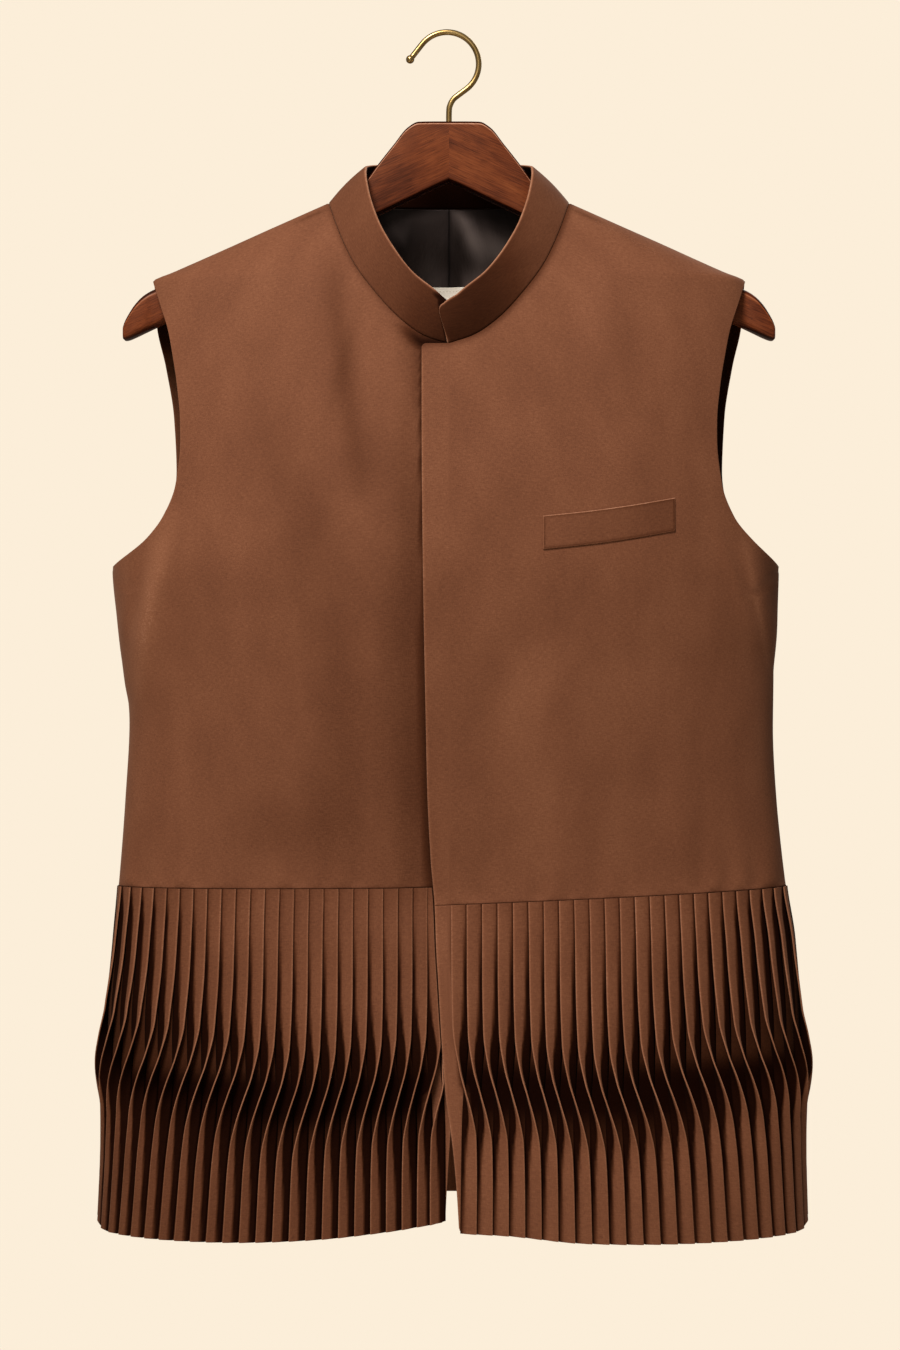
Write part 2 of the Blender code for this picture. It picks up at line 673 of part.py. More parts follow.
def skirt_panel(face, side):
    rows = [SkirtRow(face, side, level) for level in range(len(SKIRT_LEVELS) + 2)]
    lines = [skirt_line(row, rows[0]) for row in rows]
    wide = len(lines[0])
    inner_start = 4 * TUCKS + 2
    faces = []
    for i in range(len(rows) - 1):
        for j in range(wide - 1):
            a = i * wide + j
            below = a + wide
            if j < inner_start - 1 and j % 4 == 1:        # same diagonal on both walls of a fin
                faces += [(a, a + 1, below), (a + 1, below + 1, below)]
            elif j < inner_start - 1:
                faces += [(a, a + 1, below + 1), (a, below + 1, below)]
            elif j >= inner_start:
                faces += [(a + 1, a, below + 1), (a, below, below + 1)]
        for j, k in ((0, inner_start), (inner_start - 1, wide - 1)):
            a, b = i * wide + j, i * wide + k
            faces.append((a, a + wide, b + wide, b))
    for i in (0, len(rows) - 1):
        faces += [tuple(i * wide + n for n in cap) for cap in tuck_caps(inner_start)]
    return mesh_from(f"skirt_{face}_{side}", [spot for line in lines for spot in line], faces)


# Small cloth pieces

def surface_tree(grid):
    """Search tree of a grid's facets, in millimetres."""
    columns = len(grid[0])
    facets = []
    for i in range(len(grid) - 1):
        for j in range(columns - 1):
            a = i * columns + j
            facets += [(a, a + 1, a + columns + 1), (a, a + columns + 1, a + columns)]
    return BVHTree.FromPolygons([point for line in grid for point in line], facets)


def laid_on(tree, places, out):
    """Grid of points where places meet a surface seen from the front, moved off it forwards."""
    back = Vector((0, 1, 0))
    grid = []
    for line in places:
        found = [tree.ray_cast(Vector((place.x, -CAST_FROM, place.z)), back)[0] for place in line]
        grid.append([spot - back * out for spot in found])
    return grid


def pocket_welt():
    """A welt that follows the left front, standing on it."""
    places = []
    for rise in WELT_RISES:
        line = []
        for j in range(WELT_COLUMNS + 1):
            share = j / WELT_COLUMNS
            bow = WELT_BOW * math.sin(math.pi * share)
            line.append(Place(mix(WELT_INNER.x, WELT_OUTER.x, share),
                              mix(WELT_INNER.z, WELT_OUTER.z, share) + bow + rise * WELT_HEIGHT))
        places.append(line)
    grid = panel_grid("front", "left")[0]
    return wall("pocket_welt", laid_on(surface_tree(grid), places, PATCH_GAP + WELT_CLOTH), WELT_CLOTH)


def lining_grid(side):
    """Outer points of half the back lining, made from the back panel's own points."""
    grid, normals = panel_grid("back", side)
    grid = [line[:LINING_COLUMNS] for line in moved(grid, normals, -CLOTH - LINING_GAP)]
    normals = [line[:LINING_COLUMNS] for line in normals]
    for line in grid:
        line[0].x = SIDES[side] * SEAM_GAP / 2
    for j in range(LINING_COLUMNS):
        grid[0][j] = grid[0][j].lerp(grid[1][j], LINING_TOP_DROP)
        grid[-1][j] = grid[-1][j].lerp(grid[-2][j], LINING_LOW_LIFT)
    return grid, normals


def lining(side):
    grid, normals = lining_grid(side)
    return wall(f"lining_{side}", grid, LINING_CLOTH, normals)


def label():
    """Blank label, sewn flat on the inside of the lining."""
    halves = []
    for side in SIDES:
        grid, normals = lining_grid(side)
        halves.append(moved(grid, normals, -LINING_CLOTH))
    joined = [right[::-1] + left for right, left in zip(*halves)]
    places = []
    for row in range(LABEL_ROWS + 1):
        z = LABEL_TOP_Z - LABEL_HEIGHT * row / LABEL_ROWS
        places.append([Place(LABEL_WIDTH * (j / LABEL_COLUMNS - 0.5), z) for j in range(LABEL_COLUMNS + 1)])
    return wall("label", laid_on(surface_tree(joined), places, PATCH_GAP), LABEL_CLOTH)


# Hanger

def hanger_arm(side):
    """Lofted arm with bevelled edges, mitred flat at the centre."""
    points = []
    for beam in HANGER:
        deep, top, bottom = beam.half_depth, beam.top, beam.bottom
        low, high, near = bottom + beam.bevel, top - beam.bevel, deep - beam.bevel
        ring = [(-deep, low), (-deep, high), (-near, top), (near, top),
                (deep, high), (deep, low), (near, bottom), (-near, bottom)]
        points += [Vector((SIDES[side] * beam.x, y, z)) for y, z in ring]
    corners = len(ring)
    faces = []
    for i in range(len(HANGER) - 1):
        for k in range(corners):
            a, b = i * corners + k, i * corners + (k + 1) % corners
            faces.append((a, b, b + corners, a + corners))
    last = (len(HANGER) - 1) * corners
    faces += [tuple(range(corners)), tuple(range(last, last + corners))]
    return mesh_from(f"hanger_arm_{side}", points, faces)


def shank_cutter():
    """Guide that bores the hole for the hook's shank."""
    mesh = bpy.data.meshes.new("shank_cutter")
    bm = bmesh.new()
    radius = (WIRE_RADIUS + SEAM_GAP) * MM
    bmesh.ops.create_cone(bm, cap_ends=True, segments=12, radius1=radius, radius2=radius,
                          depth=2 * SHANK_HOLE_DEPTH * MM)
    bm.to_mesh(mesh)
    bm.free()
    cutter = bpy.data.objects.new("shank_cutter", mesh)
    bpy.context.scene.collection.objects.link(cutter)
    cutter.location = (0.0, 0.0, HANGER[0].top * MM)
    cutter.hide_render = True
    cutter.display_type = "WIRE"
    return cutter


def cut_shank_hole(arm, cutter):
    cut = arm.modifiers.new("shank hole", "BOOLEAN")
    cut.operation = "DIFFERENCE"
    cut.solver = "EXACT"
    cut.object = cutter


def hook_route():
    """Centre line and radius along the wire, from its foot in the wood to its ball end."""
    places = [Vector((row.x, 0, row.z)) for row in HOOK_SHANK]
    for k in range(HOOK_STEPS + 1):
        turn = math.radians(mix(HOOK_FROM, HOOK_TO, k / HOOK_STEPS))
        places.append(Vector((HOOK_X + HOOK_RADIUS * math.cos(turn), 0,
                              WIRE_RADIUS - HOOK_RADIUS + HOOK_RADIUS * math.sin(turn))))
    tip = Vector((HOOK_TIP.x, 0, HOOK_TIP.z))
    onward = (tip - places[-1]).normalized()
    places.append(tip)
    route = [(place, WIRE_RADIUS) for place in places]
    start = math.asin(WIRE_RADIUS / BALL_RADIUS)
    for k in range(1, BALL_STEPS + 1):
        turn = mix(start, math.pi * BALL_END, k / BALL_STEPS)
        reach = BALL_RADIUS * (math.cos(start) - math.cos(turn))
        route.append((tip + onward * reach, BALL_RADIUS * math.sin(turn)))
    return route


def hook():
    curve = bpy.data.curves.new("hook", "CURVE")
    curve.dimensions = "3D"
    curve.bevel_depth = MM
    curve.bevel_resolution = 3
    curve.use_fill_caps = True
    route = hook_route()
    spline = curve.splines.new("POLY")
    spline.points.add(len(route) - 1)
    for spot, (place, radius) in zip(spline.points, route):
        spot.co = (*(place * MM), 1.0)
        spot.radius = radius
    spline.use_smooth = True
    return curve


def build():
    for old in list(bpy.data.objects):
        bpy.data.objects.remove(old)
    holder = bpy.data.objects.new("jacket", None)
    bpy.context.scene.collection.objects.link(holder)
    wool = material("brown_suiting", (0.19, 0.075, 0.035), 0.85)
    satin = material("dark_satin", (0.03, 0.022, 0.022), 0.35)
    tape = material("cream_label", (0.62, 0.54, 0.43), 0.7)
    wood = material("walnut", (0.17, 0.05, 0.022), 0.35)
    brass = material("antique_brass", (0.36, 0.24, 0.09), 0.35, 1.0)
    cutter = shank_cutter()
    for side in SIDES:
        for face in ("front", "back"):
            add_object(f"{face}_{side}", body_panel(face, side), wool)
            add_object(f"skirt_{face}_{side}", skirt_panel(face, side), wool)
        add_object(f"lining_{side}", lining(side), satin)
        arm = add_object(f"hanger_arm_{side}", hanger_arm(side), wood)
        cut_shank_hole(arm, cutter)
    add_object("collar", collar(), wool)
    add_object("pocket_welt", pocket_welt(), wool)
    add_object("label", label(), tape)
    add_object("hook", hook(), brass)


build()
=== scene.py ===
import json
import math

import bmesh
import bpy
import numpy as np
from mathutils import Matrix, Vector
from mathutils.bvhtree import BVHTree

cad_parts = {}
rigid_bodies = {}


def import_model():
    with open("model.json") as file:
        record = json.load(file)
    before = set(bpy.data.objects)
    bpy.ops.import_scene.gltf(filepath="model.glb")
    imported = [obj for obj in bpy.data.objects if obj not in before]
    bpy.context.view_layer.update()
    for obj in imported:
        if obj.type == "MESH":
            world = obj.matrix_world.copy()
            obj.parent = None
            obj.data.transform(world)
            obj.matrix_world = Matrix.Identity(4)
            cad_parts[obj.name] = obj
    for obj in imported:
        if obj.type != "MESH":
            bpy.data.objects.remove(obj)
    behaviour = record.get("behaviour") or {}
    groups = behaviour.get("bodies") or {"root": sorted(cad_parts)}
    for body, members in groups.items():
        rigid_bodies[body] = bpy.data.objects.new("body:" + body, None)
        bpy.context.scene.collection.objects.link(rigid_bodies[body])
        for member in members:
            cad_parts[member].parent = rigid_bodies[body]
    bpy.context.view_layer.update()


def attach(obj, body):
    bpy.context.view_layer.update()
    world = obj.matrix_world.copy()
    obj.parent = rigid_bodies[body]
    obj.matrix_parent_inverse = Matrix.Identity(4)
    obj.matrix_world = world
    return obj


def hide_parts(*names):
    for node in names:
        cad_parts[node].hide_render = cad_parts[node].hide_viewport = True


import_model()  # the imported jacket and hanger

mm = 0.001  # lengths below are in millimetres; +Z up, the front faces -Y
sides = {"right": -1, "left": 1}  # the wearer's
facings = {"front": -1, "back": 1}  # which way each half of the jacket faces along Y

cut = {  # places where the jacket's pieces meet
    "neckPointZ": -116.5, "backNeckZ": -112.8, "tipZ": -170.8, "underarmZ": -368.6, "hipSideZ": -588.5,
    "hipFrontZ": {"right": -585.5, "left": -597.0},
    # how far back the under front lies, and where it comes forward again
    "lapStep": 5.0, "lapBlendStart": 14.0, "lapBlendWidth": 24.0,
    "shoulderRows": 3, "armRows": 8, "sideRows": 6, "centreDropAtUnderarm": 0.56, "armSpread": 110.0,
    "frontCorner": 3.0, "cornerRows": 12, "mitrePast": 6.0,
}
underarmRow = cut["shoulderRows"] + cut["armRows"]
clothThickness = {"body": 1.6, "skirt": 1.2, "collar": 2.4, "lining": 0.9, "welt": 1.0, "label": 0.55}

# horizontal sections from the neck down to the hem: half widths, depths and the power of the back's curve
sectionColumns = ("z", "right", "left", "front", "back", "backPower")
sectionRows = [
    (-108.0, 64.0, 64.0, 8.0, 46.0, 2.0), (-116.5, 83.4, 83.4, 16.0, 48.0, 1.9),
    (-138.5, 132.5, 132.5, 32.0, 54.0, 1.5), (-155.0, 169.4, 169.4, 42.0, 59.0, 1.6),
    (-165.0, 191.7, 191.7, 47.0, 61.0, 1.75), (-170.8, 204.8, 205.0, 50.0, 62.0, 1.85),
    (-190.0, 210.0, 210.0, 58.0, 66.0, 1.9), (-221.0, 217.5, 216.5, 68.0, 72.0, 1.95),
    (-260.0, 224.0, 222.0, 77.0, 77.0, 2.0), (-320.0, 229.5, 226.0, 86.0, 80.0, 2.0),
    (-368.6, 232.9, 228.0, 89.0, 78.0, 2.0), (-404.0, 229.5, 226.5, 87.0, 72.0, 2.0),
    (-440.0, 224.0, 224.0, 83.0, 66.0, 2.0), (-474.0, 221.0, 224.0, 79.0, 61.0, 2.0),
    (-529.5, 224.0, 226.5, 72.0, 58.0, 2.0), (-588.0, 228.5, 233.0, 66.0, 62.0, 2.0),
    (-625.0, 232.0, 239.0, 75.0, 67.0, 2.0), (-677.0, 236.0, 242.5, 90.0, 74.0, 2.0),
    (-720.0, 236.2, 242.8, 101.0, 80.0, 2.0), (-770.0, 238.5, 244.5, 111.0, 85.0, 2.0),
    (-826.0, 242.0, 247.0, 118.0, 90.0, 2.0),
]
frontNeck = [(0, -221), (16, -215.5), (33, -203.5), (50.5, -184), (65, -163), (75.5, -139.5), (83.4, -116.5)]
armholeEdges = {  # distance from the centre line and height
    "front": [(197.5, -191), (192, -207), (188.7, -222), (184.5, -246), (182, -271), (181.8, -284),
              (185, -314), (193.7, -336), (207.5, -352)],
    "back": [(204.5, -198), (199.3, -227), (194.4, -262), (193, -299), (198, -330), (211, -353)],
}
freeEdges = {  # the upper front's edge past the centre line, and the under front's hidden one
    "left": [(-18.3, -215), (-18.3, -240), (-14.7, -513), (-12.2, -567), (-9.6, -597), (-8.5, -625),
             (-7.3, -645), (-4.7, -688), (-2.0, -722), (1.0, -741), (4.8, -777), (7.0, -812)],
    "right": [(-14, -215), (-14, -560), (-8, -600), (-4, -700), (0, -760), (3.5, -812)],
}
hemRows = [(0.0, -801, -807, -816), (0.15, -806, -809, -816), (0.35, -812.5, -815, -818),
           (0.6, -817.5, -818.5, -820), (1.0, -822, -822, -822)]  # share, right, left, back

# folds and creases of each panel: top x and z, low x and z, width, height out of the plain section
folds = {
    ("front", "right"): [(200, -350, 226, -462, 9, 4.0), (34, -330, 32, -520, 12, -4.0),
        (88, -150, 104, -250, 12, 2.5), (70, -215, 82, -330, 14, -2.0), (150, -400, 120, -560, 22, 2.0)],
    ("front", "left"): [(201, -352, 224, -440, 9, 2.0), (96, -160, 118, -270, 14, 2.0),
        (60, -420, 92, -560, 20, 2.0)],
    ("back", "right"): [(205, -350, 190, -480, 14, 3.5), (60, -150, 84, -330, 18, -2.0)],
    ("back", "left"): [(204, -352, 196, -500, 14, 3.0), (74, -160, 90, -300, 18, 2.0)],
}
creases = {
    ("front", "right"): [(178, -330, 214, -440, 5, 1.3), (186, -330, 214, -478, 7, 2.8),
        (202, -345, 224, -452, 6, -2.6), (58, -172, 92, -296, 6, 1.7), (22, -300, 24, -560, 9, -1.6),
        (120, -165, 150, -250, 9, -0.9), (96, -470, 84, -584, 12, 0.9)],
    ("front", "left"): [(176, -332, 212, -430, 5, 1.2), (84, -150, 132, -262, 9, -0.5),
        (150, -470, 160, -580, 12, 0.9), (24, -440, 30, -585, 10, -0.8)],
    ("back", "right"): [(168, -340, 120, -470, 10, -1.2), (24, -420, 40, -584, 11, 1.1),
        (120, -190, 150, -300, 10, 1.0)],
    ("back", "left"): [(150, -350, 110, -520, 12, -1.1), (36, -400, 30, -580, 10, 1.0),
        (130, -180, 160, -290, 9, 0.9)],
}

# soft strips of painted highlight and, below zero, painted shade: the last number is how much
lightShadeStrips = {
    ("front", "right"): [(187, -322, 219, -474, 9, 0.9), (82, -140, 58, -335, 9, -0.3),
        (30, -250, 20, -430, 16, -0.14), (122, -250, 70, -430, 26, -0.16), (72, -390, 70, -610, 24, -0.2),
        (110, -134, 79, -119.5, 1.6, -0.32), (56, -538, 150, -552, 22.0, -0.13),
        (50, -268, 57, -332, 20.0, -0.1)],
    ("front", "left"): [(46, -380, 54, -590, 22, 0.26), (160, -350, 150, -460, 15, 0.24),
        (197, -340, 221, -444, 2.4, 0.6), (212, -330, 230, -420, 8, -0.3),
        (110, -134, 79, -119.5, 1.6, -0.32), (120, -380, 100, -590, 30, 0.22),
        (50, -400, 60, -560, 20, 0.12), (226, -380, 232, -640, 12, -0.3)],
}
liningLightShade = {  # the lining's painted broad highlights, and the places painted dark
    ("back", "left"): [(-2, -100, 25, -152, 5.0, 1.0), (10, -132, 58, -152, 9.0, 1.0),
        (26, -146, 12, -182, 7.0, 0.5), (20, -112, 56, -134, 6.5, -0.5)],
    ("back", "right"): [(12, -138, 14, -184, 8.0, 0.25), (72, -104, 26, -146, 19.0, -1.1)],
}


# curves and small sums

def mix(a, b, t):
    return a + (b - a) * t


def smooth(t):
    t = np.clip(t, 0.0, 1.0)
    return t * t * (3 - 2 * t)


def steadyCurve(pairs):  # a smooth curve through (key, value) pairs that never overshoots
    pairs = sorted(pairs)
    keys = np.array([pair[0] for pair in pairs], float)
    values = np.array([pair[1] for pair in pairs], float)
    steps = np.diff(values) / np.diff(keys)
    before, after = steps[:-1], steps[1:]
    total = np.where(before * after > 0, before + after, 1.0)
    inner = np.where(before * after > 0, 2 * before * after / total, 0.0)
    slopes = np.concatenate(([steps[0]], inner, [steps[-1]]))

    def at(where):
        where = np.clip(np.asarray(where, float), keys[0], keys[-1])
        i = np.clip(np.searchsorted(keys, where, side="right") - 1, 0, len(keys) - 2)
        width = keys[i + 1] - keys[i]
        t = (where - keys[i]) / width
        return ((2 * t ** 3 - 3 * t ** 2 + 1) * values[i] + (t ** 3 - 2 * t ** 2 + t) * width * slopes[i]
                + (3 * t ** 2 - 2 * t ** 3) * values[i + 1] + (t ** 3 - t ** 2) * width * slopes[i + 1])
    return at


def roundedBy(radius, away):  # how much a rounded corner rises at a distance from its edge
    near = np.clip(radius - away, 0, radius)
    return radius - np.sqrt(radius ** 2 - near ** 2)


def nearTo(distance, reach, power=2):  # 1 at a place, fading out past its reach
    return np.exp(-(distance / reach) ** power)


def lengthsAlong(points, axis=0):  # the distance from the first point or line, along one direction
    steps = np.linalg.norm(np.diff(points, axis=axis), axis=-1)
    return np.cumsum(np.insert(steps, 0, 0.0, axis=axis), axis=axis)


def curveAlong(points):  # a point at a share of a line's length, smoothed through its points
    points = np.array(points, float)
    lengths = lengthsAlong(points)
    tracks = [steadyCurve(list(zip(lengths / lengths[-1], column))) for column in points.T]
    return lambda share: np.stack([track(share) for track in tracks], axis=-1)


def unit(vectors):
    return vectors / np.maximum(np.linalg.norm(vectors, axis=-1, keepdims=True), 1e-9)


def linesTo(count, startRim, endRim):  # shares from 0 to 1, with close lines for the rounded rims
    inner = np.linspace(startRim[-1], 1 - endRim[-1], count)[1:-1]
    return np.concatenate((startRim, inner, 1 - np.array(endRim)[::-1]))


def rimSteps(span):  # the rim's close lines as shares of a span in millimetres
    return [step / span for step in (0.0, 0.1, 0.35, 0.8, 1.7, 3.0)]


def linesOver(count, span):  # shares across a whole piece of cloth, close at both rims
    return linesTo(count, rimSteps(span), rimSteps(span))


# the garment's surface

sectionAt = {name: steadyCurve([(row[0], row[k]) for row in sectionRows])
             for k, name in enumerate(sectionColumns) if k}
neckAlong = curveAlong(frontNeck)
freeEdgeAt = {side: steadyCurve([(z, x) for x, z in rows]) for side, rows in freeEdges.items()}
hemAt = {name: steadyCurve([(row[0], row[k + 1]) for row in hemRows])
         for k, name in enumerate(("right", "left", "back"))}
drape = {"rolling": 0.55, "pucker": 0.935, "puckerReach": 20.0, "seamFade": 7.0}


def foldHeight(face, side, x, z, table, power=1):  # how high a table's soft strips rise at x and z
    height = np.zeros_like(x)
    for xTop, zTop, xLow, zLow, width, rise in table.get((face, side), []):
        runX, runZ = xLow - xTop, zLow - zTop
        t = ((x - xTop) * runX + (z - zTop) * runZ) / (runX ** 2 + runZ ** 2)
        off = np.hypot(x - xTop - runX * t, z - zTop - runZ * t) / width
        height += rise * np.sin(math.pi * np.clip(t, 0, 1)) ** power * np.exp(-off ** 2)
    return height


def rollingHeight(face, side, x, z):  # the cloth is never quite flat
    phase = 1.7 * (side == "left") + 2.9 * (face == "back")
    return drape["rolling"] * (np.sin(x / 23 + z / 61 + phase) * np.sin(z / 47 - x / 90 + 2 * phase)
                               + 0.6 * np.sin(x / 11.5 - z / 38 + 3 * phase) * np.sin(z / 29 + phase))


def puckerHeight(face, side, x, z):  # short ripples where the hip seam draws the cloth in
    above = z - hipZ(face, side, x)
    ripple = np.sin(x / 4.3 + 0.4) * np.sin(x / 17.0 + 1.1) + 0.5 * np.sin(x / 2.9 + 2.0)
    return drape["pucker"] * ripple * np.exp(-above / drape["puckerReach"]) * smooth(above / 5)


def lapDepth(face, side, x):  # how far back the right front lies under the left one
    if (face, side) != ("front", "right"):
        return np.zeros_like(x)
    return cut["lapStep"] * (1 - smooth((x - cut["lapBlendStart"]) / cut["lapBlendWidth"]))


def surfacePoint(face, side, x, z, out=0.0):  # x is measured from the centre line to that side
    x, z = np.broadcast_arrays(np.asarray(x, float), np.asarray(z, float))
    width, depth = sectionAt[side](z), sectionAt[face](z)
    power = sectionAt["backPower"](z) if face == "back" else np.full_like(z, 2.0)
    across = np.minimum(np.abs(x) / width, 1.0)
    deep = np.maximum(1 - across ** power, 0.0) ** (1 / power)
    normalX = np.sign(x) * across ** (power - 1) / width
    normalY = deep ** (power - 1) / depth
    length = np.hypot(normalX, normalY)
    normalX, normalY = normalX / length, normalY / length
    relief = foldHeight(face, side, x, z, folds) + foldHeight(face, side, x, z, creases)
    body = smooth((z - cut["hipSideZ"] + 12) / 20) * smooth((cut["neckPointZ"] - z) / 30)
    relief += rollingHeight(face, side, x, z) * body
    if z.min() > cut["hipFrontZ"]["left"] - 1:
        relief += puckerHeight(face, side, x, z)
    relief *= smooth(depth * deep / drape["seamFade"])
    out = out + relief - lapDepth(face, side, x)
    return np.stack([sides[side] * (x + normalX * out), facings[face] * (depth * deep + normalY * out), z],
                    axis=-1)


def hipZ(face, side, x):  # the hip seam runs straight from the centre to the side
    if face == "back":
        return np.full_like(x, cut["hipSideZ"])
    return mix(cut["hipFrontZ"][side], cut["hipSideZ"], x / sectionAt[side](cut["hipSideZ"]))


def neckPlace(face, share):  # the neck edge from the centre to the neck point
    if face == "back":
        z = mix(cut["backNeckZ"], cut["neckPointZ"], share ** 2)
        return sectionAt["left"](z) * np.sin(share * math.pi / 2), z
    spot = neckAlong(share)
    return spot[..., 0], spot[..., 1]


def neckPoint(face, side, share, past=0.0):
    x, z = neckPlace(face, share)
    return surfacePoint(face, side, x - past, z)


# meshes

def linked(name, data):  # a new object in the scene
    made = bpy.data.objects.new(name, data)
    bpy.context.scene.collection.objects.link(made)
    return made


def piece(name, mesh, look):
    mesh.materials.clear()
    mesh.materials.append(look)
    return linked(name, mesh)


def addValues(mesh, name, values):  # a named number or direction for each point
    values = np.asarray(values, np.float32)
    kind, key = ("FLOAT_VECTOR", "vector") if values.shape[-1] == 3 else ("FLOAT", "value")
    mesh.attributes.new(name, kind, "POINT").data.foreach_set(key, values.ravel())


def turnOutwards(mesh):
    bm = bmesh.new()
    bm.from_mesh(mesh)
    bmesh.ops.recalc_face_normals(bm, faces=bm.faces)
    bm.to_mesh(mesh)
    bm.free()


# the last two optional arrays are painted highlights and painted shade for each point
def facedMesh(name, points, faces, grain=None, worn=None, hollow=None):  # smooth, faces outwards
    mesh = bpy.data.meshes.new(name)
    mesh.from_pydata((np.asarray(points) * mm).tolist(), [], faces)
    if grain is not None:
        addValues(mesh, "grain", np.asarray(grain) * mm)
    for label, values in (("worn", worn), ("hollow", hollow)):
        if values is not None:
            addValues(mesh, label, np.ravel(values)[:, None])
    turnOutwards(mesh)
    mesh.shade_smooth()
    return mesh


def gridNormals(grid):  # outward directions at a grid's points
    normals = unit(np.cross(np.gradient(grid, axis=0), np.gradient(grid, axis=1)))
    return normals * (1 if (normals * grid * (1, 1, 0)).sum() >= 0 else -1)


def sideSeamNormals(grid, side):  # square to the side seam, so that front and back meet in one line
    run = np.gradient(grid[:, -1], axis=0)
    return unit(np.stack([-run[:, 2], np.zeros(len(run)), run[:, 0]], -1) * sides[side])


def gridFaces(index):
    return np.stack([index[:-1, :-1], index[:-1, 1:], index[1:, 1:], index[1:, :-1]], -1).reshape(-1, 4)


def rimDistance(grid):  # distance of each point from the nearest edge, along the grid's lines
    down, across = lengthsAlong(grid, 0), lengthsAlong(grid, 1)
    return np.minimum(np.minimum(down, down[-1:] - down), np.minimum(across, across[:, -1:] - across))


def shell(name, grid, normals, thickness, grain, worn=None, hollow=None):
    # cloth with rounded edges: the grid is its outside; the last two arguments are its painted highlights,
    # and the painted shade of its outside and inside
    half = thickness / 2
    near = half - np.minimum(rimDistance(grid), half)
    lift = np.sqrt(np.maximum(half ** 2 - near ** 2, 0.0))[..., None]
    middle = grid - normals * half
    rows, columns = grid.shape[:2]
    index = np.arange(rows * columns).reshape(rows, columns)
    innerIndex = index.copy()
    innerIndex[1:-1, 1:-1] = rows * columns + np.arange((rows - 2) * (columns - 2)).reshape(rows - 2, -1)

    def joined(outside, inside):  # the two faces share their rim
        inside = np.broadcast_to(inside, outside.shape)[1:-1, 1:-1]
        size = outside[0, 0].size
        return np.concatenate((outside.reshape(-1, size), inside.reshape(-1, size)))
    points = joined(middle + normals * lift, middle - normals * lift)
    faces = np.concatenate((gridFaces(index), gridFaces(innerIndex)[:, ::-1])).tolist()
    return facedMesh(name, points, faces, joined(grain, grain), None if worn is None else joined(worn, worn),
                     None if hollow is None else joined(*hollow))


def hangingGrain(grid):  # thread directions of hanging cloth: round the body, and height
    x, deep = grid[..., 0], np.abs(grid[..., 1])
    return np.stack([x + np.sign(x) * (deep.max() - deep), grid[..., 2], np.zeros_like(x)], axis=-1)


def bandGrain(grid):  # thread directions of a band: along it, and across it
    along, across = lengthsAlong(grid, 1), lengthsAlong(grid, 0)
    return np.stack([along, across, np.zeros_like(along)], axis=-1)


def edgeHighlight(grid, *edges):  # a painted highlight along free edges: 1 on an edge, gone after two millimetres
    wear = np.zeros(grid.shape[:2])
    for axis, last in edges:
        away = lengthsAlong(grid, axis)
        if last:
            away = away.take([-1], axis) - away
        wear = np.maximum(wear, nearTo(away, 0.9))
    return wear


def finishPiece(made, slot, *nodes):  # every piece rides on the one body
    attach(made, "root")
    if nodes:
        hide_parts(*nodes)
    return made


# materials

class Number:  # a number inside a node tree, so that a formula can be written as one
    def __init__(self, nodes, socket):
        self.nodes, self.socket = nodes, socket

    def __add__(self, other):
        return self.nodes.sums("ADD", self, other)

    def __sub__(self, other):
        return self.nodes.sums("SUBTRACT", self, other)

    def __rsub__(self, other):
        return self.nodes.sums("SUBTRACT", other, self)

    def __mul__(self, other):
        return self.nodes.sums("MULTIPLY", self, other)

    def __truediv__(self, other):
        return self.nodes.sums("DIVIDE", self, other)

    __radd__, __rmul__ = __add__, __mul__

    def atLeast(self, other):
        return self.nodes.sums("MAXIMUM", self, other)

    def atMost(self, other):
        return self.nodes.sums("MINIMUM", self, other)

    def root(self):
        return self.nodes.sums("SQRT", self.atLeast(0.0))


class Nodes:  # short ways to add nodes to a tree
    def __init__(self, tree):
        self.tree = tree

    def fill(self, socket, value):
        if isinstance(value, Number):
            value = value.socket
        if isinstance(value, bpy.types.NodeSocket):
            self.tree.links.new(value, socket)
        else:
            socket.default_value = value

    def node(self, kind, inputs=None, **settings):
        made = self.tree.nodes.new(kind)
        for key, value in settings.items():
            setattr(made, key, value)
        for key, value in (inputs or {}).items():
            self.fill(made.inputs[key], value)
        return made

    def number(self, kind, inputs=None, output=0, **settings):
        return Number(self, self.node(kind, inputs, **settings).outputs[output])

    def sums(self, operation, *terms):
        return self.number("ShaderNodeMath", dict(enumerate(terms)), operation=operation)

    def times(self, vector, factor):
        return self.node("ShaderNodeVectorMath", {0: vector, "Scale": factor}, operation="SCALE").outputs[0]

    def plus(self, a, b):
        return self.node("ShaderNodeVectorMath", {0: a, 1: b}, operation="ADD").outputs[0]


